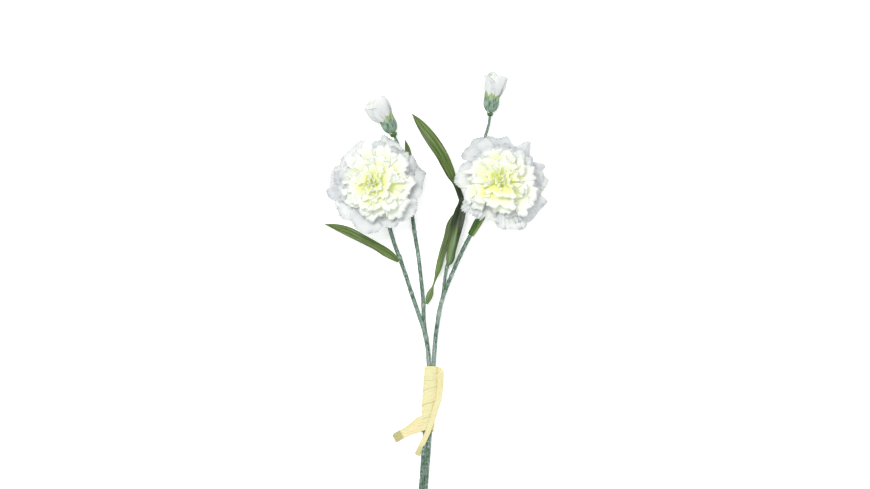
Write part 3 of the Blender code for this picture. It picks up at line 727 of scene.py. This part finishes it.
def petal_surface(head, angle, layer, share, swing, size):
    """Points of a petal and their distance from the axis.

    Each line from the claw's ring to the margin is a quadratic curve that starts up the axis and
    leans out by the layer's opening angle, and by more near the margin in the middle layers.
    """
    ring = CLAW_RADIUS * (1.0 - CLAW_TAPER * layer)
    blade, claw = np.maximum(share, 0.0), np.minimum(share, 0.0)
    stretch = 1.0 + STRETCH * np.sin(angle) ** 2 - LOW_STRETCH * np.sin(angle)
    length = (OUTER_LENGTH - LENGTH_LOSS * np.sqrt(layer)) * stretch * size
    recurve = RECURVE * 4.0 * layer * (1.0 - layer) * blade**3
    opening = np.radians(OPENING * (1.0 - layer) ** 0.9 + swing + recurve)
    radius = ring + blade**2 * length * np.sin(opening)
    rise = 2.0 * blade * (1.0 - blade) * PETAL_RISE * length + blade**2 * length * np.cos(opening)
    return head.place(angle, radius, BLOOM_LIFT + CLAW_DEPTH * claw + rise), radius


def stir(points, centre, seed):
    """Bends the whole bloom by a gentle uneven flow that fades out towards its throat."""
    rng = np.random.default_rng(seed)
    away = points - centre
    fade = np.clip((np.linalg.norm(away, axis=-1, keepdims=True) - 6.0) / 16.0, 0.0, 1.0)
    for size, reach in ((1.3, 44.0), (0.9, 27.0), (0.55, 15.0)):
        for _ in range(2):
            wave = unit(rng.normal(size=3)) * FULL_TURN / reach
            push = unit(np.cross(wave, rng.normal(size=3)))
            phase = rng.uniform(0.0, FULL_TURN)
            points = points + fade * size * np.sin(points @ wave + phase)[..., None] * push
    return points


def petal(head, middle, half, layer, size, rng, lime, seed, white, pleats=0.0):
    """One petal as (points, texture places, tints).

    u runs across from -1 to 1 and the share along from the claw to the margin. The layer grows
    across the petal, so that each one overlaps the next like a pinwheel. The margin is rounded,
    scalloped at random and cut in a saw-tooth. The tint is lime near the axis, paler at the tips.
    A low white leaves it in the bluish grey of painted shade, and the pleats are greyed the same way.
    """
    layer = layer + rng.uniform(-0.012, 0.012)
    size = size * rng.uniform(0.97, 1.03)
    opening = math.radians(min(90.0, OPENING * (1.0 - layer) ** 0.9))
    reach = CLAW_RADIUS + 0.9 * OUTER_LENGTH * math.sin(opening)
    width = 2.0 * math.radians(half) * reach
    teeth = max(6, round(width / TOOTH_PITCH))
    u = np.linspace(-1.0, 1.0, 4 * teeth + 1)[None, :]
    share = np.concatenate([[-0.6], np.linspace(0.0, 1.0, 24)])[:, None]
    blade = np.maximum(share, 0.0)
    widening = 0.6 + 0.4 * np.minimum(1.0, blade / 0.6)
    angle = math.radians(middle) + math.radians(half) * widening * u
    own = np.clip(layer + 0.5 * RING_SPACING * u, 0.0, 0.98)
    scallop = rng.uniform(0.02, 0.06) * np.sin(rng.uniform(2.5, 6.0) * u + rng.uniform(0.0, 6.0))
    saw = np.abs(((u + 1.0) * teeth / 2.0) % 1.0 - 0.5) * 2.0
    depth = TOOTH_DEPTH * rng.uniform(0.6, 1.2) / OUTER_LENGTH
    outline = size * (1.0 - rng.uniform(0.12, 0.24) * np.abs(u) ** 3.0 + scallop * blade**2)
    outline = outline * (1.0 - depth * saw * np.clip((blade - 0.9) / 0.1, 0.0, 1.0))
    curl, turn = rng.uniform(-1.0, 1.0, 2), rng.uniform(0.0, FULL_TURN)
    swing = crimp(angle, own, blade, seed) + 3.0 * curl[0] * blade**3 * np.sin(4.0 * u + turn)
    swing = swing + 4.0 * curl[1] * blade**4 + pleats * blade * np.sin(FULL_TURN * PLEATS * u)
    points, radius = petal_surface(head, angle, own, share, swing, outline)
    points = stir(points, head.mouth, seed)
    place = np.stack(np.broadcast_arrays(u * width / 2.0, share), axis=-1)
    glow = np.clip(1.0 - radius / LIME_REACH, 0.0, 1.0) ** 0.7 * (1.0 - 0.55 * blade**5)
    clouds = 0.5 * np.sin(3.0 * angle + turn) * np.sin(4.0 * blade + 2.0 * turn) + 0.5
    # A low white greys the petal towards the bluish grey of painted shade.
    tint = white * (0.4 + 1.2 * clouds) + 0.8 * lime * rng.uniform(0.8, 1.15) * glow
    # Painted shade: the pleats are greyed along their folds.
    tint = tint - 0.035 * pleats * (1.0 + np.sin(FULL_TURN * PLEATS * u + 1.0)) * blade
    return points, place, np.clip(tint, 0.0, 1.0)


def folded_petal(head, middle, distance, radius, height, rng, lime, seed):
    """One upright petal, folded lengthwise round its own leaning midline into a wavy funnel.

    The midline leaves the bloom's axis at the throat and leans out to a distance at the margin.
    Round it the petal makes most of a circle. The radius stays small up to the neck and then opens
    into a frilled lip, with waves that deepen towards the pinked margin. The side that faces the
    axis is drawn in, and the outer side spreads and hangs a little.
    """
    distance = distance * rng.uniform(0.88, 1.12)
    radius, height = radius * rng.uniform(0.88, 1.12), height * rng.uniform(0.93, 1.04)
    half = rng.uniform(2.2, 2.9)
    teeth = round(2.0 * half * radius * 1.5 / TOOTH_PITCH)
    u = np.linspace(-1.0, 1.0, 4 * teeth + 1)[None, :]
    share = np.linspace(0.0, 1.0, 30)[:, None]
    neck = np.minimum(share / 0.5, 1.0)
    lip = np.clip((share - 0.4) / 0.6, 0.0, 1.0)
    turn = rng.uniform(0.0, FULL_TURN, 5)
    around = rng.uniform(0.0, FULL_TURN) + half * u
    folds = (
        0.14 * share * np.sin(2.0 * around + turn[0])
        + 0.20 * share * np.sin(3.0 * around + turn[1])
        + 0.15 * lip**1.2 * np.sin(5.0 * around + turn[2])
        + 0.10 * lip**1.6 * np.sin(9.0 * around + turn[4])
        + 0.05 * lip**2 * np.sin(17.0 * around + turn[3])
    )
    spread = radius * (0.2 + 0.3 * share + 0.5 * lip**1.5) * (1.0 + folds)
    ahead, aside = spread * np.cos(around), 1.2 * spread * np.sin(around)
    ahead = np.where(ahead < 0.0, 0.7, 0.85) * ahead
    saw = np.abs(((u + 1.0) * teeth / 2.0) % 1.0 - 0.5) * 2.0
    crown = 1.0 - 0.06 * np.abs(u) ** 2.5 + 0.05 * lip * np.sin(3.0 * around + turn[3])
    crown = crown - 0.7 * TOOTH_DEPTH / height * saw * np.clip((share - 0.92) / 0.08, 0.0, 1.0)
    along = BLOOM_LIFT + height * (0.72 * neck**0.9 + 0.28 * lip**0.9) * crown
    along = along - 0.24 * ahead * lip
    ahead = ahead + distance * share**1.3
    facing = math.radians(middle)
    x = ahead * math.cos(facing) - aside * math.sin(facing)
    y = ahead * math.sin(facing) + aside * math.cos(facing)
    away = np.hypot(x, y)
    points = stir(head.place(np.arctan2(y, x), away, along), head.mouth, seed)
    place = np.stack(np.broadcast_arrays(u * half * radius, share), axis=-1)
    glow = np.clip(1.2 - away / LIME_REACH, 0.0, 1.0) ** 0.7
    glow = glow * (1.0 - 0.75 * np.clip((share - 0.72) / 0.24, 0.0, 1.0))
    return points, place, np.clip(0.15 + 0.85 * lime * rng.uniform(0.65, 1.1) * glow, 0.0, 1.0)


def turned_up(head, layer):
    """The same head with its face turned up towards the sky by the layer."""
    elevation = math.degrees(head.face) + TURN_UP * layer
    return Head(head.mouth, math.degrees(head.heading), STEM_ELEVATION, elevation)


def on_table(points, lowest):
    """Bends what would hang through the table, or through what lies there, to lie on it."""
    low = np.minimum(points[..., 2] - lowest, 0.0)
    points[..., 2] -= 0.93 * low  # the rest keeps overlapping petals apart
    return points


def petal_material(name, glow):
    """White cloth with radial creases and pinked margins, both greyed by painted shade; lime where the
    tint is high, the bluish grey of painted shade where it is low, and a faint glow of painted light.
    """
    material, tree, shader = new_material(
        name, 0.8, Specular_IOR_Level=0.25, Subsurface_Weight=0.3, Subsurface_Scale=0.002,
        Subsurface_Radius=(1.0, 1.0, 0.8), Sheen_Weight=0.12, Sheen_Roughness=0.5,
    )
    tint = tint_of(tree)
    creases = noise(tree, texture_place(tree, "UV", (0.9, 2.2, 1.0)), 1.0, 4.0, 0.6, 0.4)
    clouds = noise(tree, texture_place(tree, "Object", (90.0, 90.0, 90.0)), 1.0, 2.0, 0.5)
    shift = math_node(tree, "MULTIPLY", math_node(tree, "SUBTRACT", clouds, 0.5), tint)
    shade = math_node(tree, "ADD", tint, shift, clamp=True)
    # Tint 0 is the bluish grey of painted shade, which the guard petals take most; 0.2 is white, and
    # higher tints run through cream to lime.
    cloth = ramp(
        tree,
        shade,
        [(0.0, (0.56, 0.585, 0.62)), (0.2, (0.79, 0.815, 0.795)), (0.4, (0.80, 0.83, 0.66)),
         (0.65, (0.84, 0.865, 0.40)), (0.85, (0.76, 0.79, 0.18)), (1.0, (0.60, 0.65, 0.07))],
    )
    place = add_node(tree, "ShaderNodeTexCoord").outputs["UV"]
    reach = add_node(tree, "ShaderNodeSeparateXYZ", {0: place}).outputs[1]
    # Painted shade: patches of the pinked margins are greyed.
    patchy = noise(tree, texture_place(tree, "UV", (0.16, 0.6, 1.0)), 1.0, 2.0, 0.6)
    edge = math_node(tree, "MULTIPLY", mask(tree, reach, 0.93, 1.0),
                     mask(tree, patchy, 0.45, 0.62, 0.08, 0.85))
    cloth = mix(tree, edge, cloth, (0.32, 0.33, 0.37))
    # Painted shade: the creases are greyed where they dip.
    cloth = mix(tree, mask(tree, creases, 0.3, 0.46, 0.25, 0.0), cloth, (0.60, 0.61, 0.64))
    tree.links.new(cloth, shader.inputs["Base Color"])
    shader.inputs["Emission Color"].default_value = (0.93, 1.0, 0.66, 1.0)
    shader.inputs["Emission Strength"].default_value = glow
    bump(tree, shader, creases, 0.25, 0.0006)
    return material


cloth = petal_material("petal_cloth", 0.0)
ruffle_cloth = petal_material("ruffle_petal_cloth", RUFFLE_GLOW)
heart_cloth = petal_material("heart_petal_cloth", HEART_GLOW)
BLOOM_SEEDS, FLOW_SEEDS = {"left": 40, "right": 41}, {"left": 11, "right": 12}
TURNS = {"left": 22.0, "right": 52.0}  # of the first ring about the axis, in degrees
RING_TURN, RING_SCATTER = 29.0, 7.0  # from ring to ring, and either way at random
FLOORS = {"left": 7.2, "right": 1.2}  # height that the lowest petals lie at
LIMES = {"left": 0.77, "right": 0.98}
GUARD_LAYERS = (0.02, 0.06)  # by turns, so that neighbours overlap
GUARD_NODES = 6
# The guard petals' white is low, so that they take the bluish grey of painted shade.
GUARD_SHADED_WHITE = 0.16
TUFT_LAYER = 0.53
for spray, head in BLOOM_HEADS.items():
    rng = np.random.default_rng(BLOOM_SEEDS[spray])
    for index, (toward, half, size, pleats) in enumerate(GUARDS[spray]):
        middle = math.degrees(head.heading) - 90.0 - toward
        made = petal(head, middle, half, GUARD_LAYERS[index % 2], size, rng, 0.0,
                     FLOW_SEEDS[spray], GUARD_SHADED_WHITE, pleats)
        nodes = [f"{spray}_bloom_guard_petal_{index + 1}"] if index < GUARD_NODES else []
        laid = (on_table(made[0], FLOORS[spray]), *made[1:])
        add_piece(f"{spray}_bloom_guard_cloth_{index + 1}", [laid], cloth, nodes,
                  PETAL_WALL, weld=False)
    for ring, (name, node, layer, count, half, size) in enumerate(RINGS):
        petals = []
        for index in range(count):
            middle = TURNS[spray] + 360.0 * index / count + RING_TURN * ring
            middle += rng.uniform(-RING_SCATTER, RING_SCATTER)
            leftward = -math.cos(math.radians(middle + 90.0) - head.heading)
            trimmed = size * (1.0 - RING_TRIM[spray] * max(0.0, leftward))
            made = petal(turned_up(head, layer), middle, half, layer, trimmed, rng, LIMES[spray],
                         FLOW_SEEDS[spray], 0.09 + 0.14 * layer)
            petals.append((on_table(made[0], FLOORS[spray]), *made[1:]))
        add_piece(f"{spray}_bloom_{name}", petals, ruffle_cloth,
                  [f"{spray}_bloom_{node}"] if node else [], PETAL_WALL, weld=False)
    for name, node, count, distance, radius, height in TUFTS:
        first = rng.uniform(0.0, 360.0)
        petals = [folded_petal(turned_up(head, TUFT_LAYER), first + 360.0 * index / count, distance,
                               radius, height, rng, LIMES[spray], FLOW_SEEDS[spray])
                  for index in range(count)]
        add_piece(f"{spray}_bloom_{name}", petals, heart_cloth,
                  [f"{spray}_bloom_{node}"] if node else [], PETAL_WALL, weld=False)

# ==== Bud petals ==============================================================================
# A half-open bud: four outer petals wrapped round each other and flared and rolled at the margin,
# seven more inside them, and a furled core. They are of the same cloth, glued into the calyx.
BUD_FOOT = 8.0  # of the petals, over the foot of the bud's calyx
BUD_TEETH = 12
BUD_LENGTHS = {"left": 31.2, "right": 32.0}
BUD_SPREADS = {"left": 10.4, "right": 8.8}
BUD_CLOSINGS = {"left": 0.12, "right": 0.04}
BUD_LEANS = {"left": 9.0, "right": -6.0}  # of the petals from the calyx, in degrees over the table


def bud_petal(head, middle, half, foot, spread, top, closing, lap, curl, seed):
    """One petal of a bud as (points, texture places, tints).

    It is part of a pear shape about the bud's axis: the radius grows with a quarter turn of a
    sine up to two thirds of the length, then falls by the closing share. It grows by lap across
    the petal, so that it wraps over its neighbour. The rounded margin rolls outwards by curl.
    """
    rng = np.random.default_rng(seed)
    turn = rng.uniform(0.0, FULL_TURN, 3)
    u = np.linspace(-1.0, 1.0, 4 * BUD_TEETH + 1)[None, :]
    share = np.linspace(0.0, 1.0, 28)[:, None]
    angle = math.radians(middle) + math.radians(half) * u
    roll = np.clip((share - 0.72) / 0.28, 0.0, 1.0) ** 2
    lean = curl * (0.5 + 0.5 * np.sin(2.2 * u + turn[0]))
    wave = share**2 * (0.4 * np.sin(3.0 * angle + turn[1]) + 0.25 * np.sin(8.0 * angle + turn[2]))
    opened = np.clip((share - 0.12) / 0.56, 0.0, 1.0) ** 1.1
    radius = foot + (spread - foot) * np.sin(0.5 * np.pi * opened)
    radius = radius * (1.0 - closing * np.clip((share - 0.6) / 0.4, 0.0, 1.0) ** 2)
    radius = radius + 0.5 * lap * (u + 1.0) * (0.4 + 0.6 * share) + lean * roll + wave
    saw = np.abs(((u + 1.0) * BUD_TEETH / 2.0) % 1.0 - 0.5) * 2.0
    height = (top - BUD_FOOT) * (1.0 - 0.3 * np.abs(u) ** 2.2 - 0.025 * saw * (share > 0.96))
    along = BUD_FOOT + height * share - 0.8 * np.abs(lean) * roll
    points = head.place(angle + 0.0 * share, radius, along)
    points[..., 2] = np.maximum(points[..., 2], 0.3)
    place = np.stack(np.broadcast_arrays(u * half * 0.12, share), axis=-1)
    tint = 0.18 + 0.3 * np.clip(1.0 - 2.5 * share, 0.0, 1.0) - 0.05 * share * (seed % 2)
    # Painted shade: the petal's side margins are greyed.
    tint = tint - 0.13 * np.clip((np.abs(u) - 0.94) / 0.06, 0.0, 1.0)
    return points, place, tint


for number, (spray, calyx_head) in enumerate(BUD_HEADS.items()):
    spread, long = BUD_SPREADS[spray], BUD_LENGTHS[spray]
    heading = math.degrees(calyx_head.heading)
    head = Head(calyx_head.mouth, heading + BUD_LEANS[spray], STEM_ELEVATION, STEM_ELEVATION)
    head.mouth = head.mouth + calyx_head.axis(BUD_FOOT)[0] - head.axis(BUD_FOOT)[0]
    outer = [bud_petal(head, 60.0 + 90.0 * n, 66.0, 4.2, spread - 0.8, long - 1.4 * (n % 2),
                       BUD_CLOSINGS[spray], 0.9, 0.9 + 1.6 * (n % 2), 60 + 10 * number + n)
             for n in range(4)]
    add_piece(f"{spray}_bud_outer_petals_cloth", outer, cloth,
              [f"{spray}_bud_outer_petals"], PETAL_WALL, weld=False)
    inner = [bud_petal(head, 15.0 + 90.0 * n, 62.0, 3.3, spread - 2.4, long - 1.0, 0.3, 0.8,
                       1.6, 80 + 10 * number + n) for n in range(4)]
    inner += [bud_petal(head, 40.0 + 120.0 * n, 80.0, 2.4, spread - 4.0, long - 0.8, 0.45, 0.8,
                        1.5, 90 + 10 * number + n) for n in range(3)]
    inner.append(bud_petal(head, 10.0, 250.0, 0.8, 1.9, long - 1.4, 0.3, 2.2, 0.3, 120 + number))
    add_piece(f"{spray}_bud_inner_petals_cloth", inner, heart_cloth,
              [f"{spray}_bud_inner_petals"], PETAL_WALL, weld=False)

# ==== Raffia tie ==============================================================================
# One strip of pale yellow raffia ribbon, wound upwards round both stems, each turn over the top
# edge of the last. At the top it folds over into a slack run down the right side, crosses the
# front and ends in a short folded tail. Its other end is the long tail at the lower left.
RIBBON_WIDTH = 11.5
RIBBON_WALL = 0.18
FOLD_GAP = 0.55
LAP_HEIGHT = 0.32
CORNER = 2.5  # along the strip, of its trimmed ends
RIBBON_SIDES = 25
TIE_TOP, TIE_FOOT = (-3.2, -32.6), (-6.2, -85.4)
TIE_HALF_WIDTHS = (4.4, 4.9, 5.2, 5.0, 4.6, 4.45)
TIE_HALF_HEIGHT = 2.15
# Turns taken and how far up the tie the strip's middle is then.
TIE_CLIMB = [(0.42, -76.4), (0.75, -79.4), (1.25, -79.9), (2.25, -70.5), (3.25, -59.0),
             (4.25, -47.0), (5.2, -38.4), (5.75, -38.4)]


def wound_ribbon():
    """The winding as rows of (middle point, width vector, outward vector).

    The middle runs round a flattened oval about both stems, over the front to the right and back
    underneath, and climbs as TIE_CLIMB says. The width lies along the stems, square to the run.
    """
    turns = np.linspace(TIE_CLIMB[0][0], TIE_CLIMB[-1][0], 520)
    climb = np.array(TIE_CLIMB)
    y = np.interp(turns, climb[:, 0], climb[:, 1])
    y = np.convolve(np.pad(y, 20, mode="edge"), np.ones(41) / 41.0, mode="valid")
    share = (TIE_TOP[1] - y) / (TIE_TOP[1] - TIE_FOOT[1])
    middle = TIE_TOP[0] + share * (TIE_FOOT[0] - TIE_TOP[0])
    half = np.interp(share, np.linspace(0.0, 1.0, len(TIE_HALF_WIDTHS)), TIE_HALF_WIDTHS)
    angle = np.pi - FULL_TURN * (turns - 0.25)
    loose = 0.22 * np.minimum(turns, 1.6)
    x = np.sign(np.cos(angle)) * np.abs(np.cos(angle)) ** 0.85
    z = np.sign(np.sin(angle)) * np.abs(np.sin(angle)) ** 0.7
    x, z = middle + (half + loose) * x, TIE_HEIGHT + (TIE_HALF_HEIGHT + loose) * z
    points = np.stack([x, y, z], axis=-1)
    ahead = unit(np.gradient(points, axis=0))
    width = np.broadcast_to([0.04, 1.0, 0.0], points.shape)
    return points, width, unit(np.cross(ahead, width))


def slack_ribbon(rows):
    """A loose run as (middle point, width vector, outward vector) from rows of six numbers.

    The rows hold the middle point and the direction of the width, read along one smooth curve.
    """
    line = smooth_route(rows, 0.4)
    width = unit(line[:, 3:6])
    return line[:, :3], width, unit(np.cross(unit(np.gradient(line[:, :3], axis=0)), width))


def ribbon_strip(middle, width, out, broad, folded, crease):
    """The strip as (points, texture places).

    q runs across it in millimetres. The part past the fold line turns back under the rest, and the
    gap between them opens with the hyperbolic tangent of the distance from the fold. Fine crinkles
    run lengthwise and a few lie across, and crease lifts each point by its own amount.
    """
    q = np.linspace(0.0, 1.0, RIBBON_SIDES)[None, :] * broad[:, None]
    line = broad[:, None] * (1.0 - folded[:, None])
    past = np.maximum(q - line, 0.0)
    flat = np.minimum(q, line) - past * 0.96 - 0.5 * line
    steps = np.linalg.norm(np.diff(middle, axis=0), axis=1)
    along = np.concatenate([[0.0], np.cumsum(steps)])[:, None]
    crinkle = 0.07 * np.sin(2.9 * q + 0.5 * np.sin(0.3 * along))
    crinkle = crinkle + 0.05 * np.sin(1.3 * along + 1.9 * q)
    under = -FOLD_GAP * np.tanh(past / 0.35)
    lift = crinkle + under + crease
    points = middle[:, None] + flat[..., None] * width[:, None] + lift[..., None] * out[:, None]
    points[..., 2] = np.maximum(points[..., 2], 0.12)
    return points, np.stack(np.broadcast_arrays(q, along), axis=-1)


def raffia_material():
    """Pale yellow ribbon with lengthwise fibres, a satin sheen and an olive underside (tint 1), which
    also stands for painted shade at the turned ends.
    """
    material, tree, shader = new_material(
        "raffia_ribbon", 0.5, Specular_IOR_Level=0.4, Subsurface_Weight=0.15, Subsurface_Scale=0.001
    )
    fibres = noise(tree, texture_place(tree, "UV", (2.6, 0.10, 1.0)), 1.0, 4.0, 0.6, 0.3)
    patches = noise(tree, texture_place(tree, "UV", (0.25, 0.2, 1.0)), 1.0, 2.0, 0.5)
    yellow = ramp(tree, fibres, [(0.3, (0.64, 0.52, 0.22)), (0.46, (0.82, 0.72, 0.38)),
                                 (0.7, (0.89, 0.82, 0.50))])
    yellow = mix(tree, math_node(tree, "MULTIPLY", patches, 0.5), yellow, (0.84, 0.77, 0.45))
    tree.links.new(mix(tree, tint_of(tree), yellow, (0.50, 0.46, 0.20)), shader.inputs["Base Color"])
    bump(tree, shader, fibres, 0.5, 0.0005)
    return material


# Middle point and width direction along each loose run, from the long tail's end, and from the
# top of the winding down the right side, over the front and on to the short tail's end.
long_tail = [(-32.8, -90.9, 1.1, 0.45, -0.87, 0.0), (-31.0, -89.6, 1.5, 0.45, -0.87, 0.05),
             (-24.0, -85.6, 2.6, 0.47, -0.88, 0.05), (-17.5, -82.0, 4.0, 0.47, -0.88, 0.0),
             (-12.5, -79.0, 4.9, 0.42, -0.9, 0.0)]
right_run = [(2.9, -38.2, 5.0, 0.75, 0.62, 0.1), (4.0, -42.0, 4.6, 0.93, 0.2, 0.3),
             (3.8, -50.0, 4.4, 0.95, 0.0, 0.3), (3.1, -57.0, 4.7, 0.95, -0.05, 0.2),
             (1.4, -63.0, 6.1, 0.93, -0.3, -0.1), (-0.8, -70.0, 6.9, 0.92, -0.35, -0.1),
             (-3.2, -78.0, 6.9, 0.92, -0.35, 0.0), (-6.0, -85.6, 6.7, 0.92, -0.38, 0.1),
             (-9.2, -92.6, 5.4, 0.9, -0.42, 0.1), (-12.2, -98.8, 3.4, 0.9, -0.42, 0.1),
             (-14.6, -103.8, 1.9, 0.9, -0.42, 0.1)]
wound = wound_ribbon()
start = (*wound[0][0], *-wound[1][0])
tail = slack_ribbon([*long_tail, start])
finish = (*wound[0][-1], *wound[1][-1])
run = slack_ribbon([finish, *right_run])
tail = (tail[0][:-1], -tail[1][:-1], -tail[2][:-1])
run = tuple(part[1:] for part in run)
middle, width, out = (np.concatenate(parts) for parts in zip(tail, wound, run))
length = np.concatenate([[0.0], np.cumsum(np.linalg.norm(np.diff(middle, axis=0), axis=1))])
tail_end, run_start = length[len(tail[0])], length[len(tail[0]) + len(wound[0]) - 1]
folded = 0.36 * np.clip((tail_end - 4.0 - length) / 12.0, 0.0, 1.0)
folded = folded + 0.5 * np.clip((length - run_start + 2.0) / 10.0, 0.0, 1.0)
broad = RIBBON_WIDTH * (1.0 - 0.25 * np.clip((length - run_start) / 30.0, 0.0, 1.0))
from_end = np.clip(np.minimum(length, length[-1] - length) / CORNER, 0.0, 1.0)
broad = broad * (0.72 + 0.28 * np.sqrt(1.0 - (1.0 - from_end) ** 2))
# In the winding, the lower edge of each turn stands over the turn before it.
lapped = np.clip((length - tail_end) / 20.0, 0.0, 1.0)
lapped = lapped * np.clip((run_start - length) / 6.0, 0.0, 1.0)
crease = LAP_HEIGHT * lapped[:, None] * (1.0 - np.linspace(0.0, 1.0, RIBBON_SIDES)[None, :])
grid, place = ribbon_strip(middle, width, out, broad, folded, crease)
# The olive of the underside, with painted shade, is painted on the long tail's end and a little on
# the short one's.
olive = np.clip(8.0 - length, 0.0, 1.0) + np.clip((length - length[-1] + 9.0) / 5.0, 0.0, 0.35)
ribbon = add_piece("raffia_ribbon_tie", [(grid, place, olive[:, None])], raffia_material(),
                   ["raffia_tie"], RIBBON_WALL, weld=False)
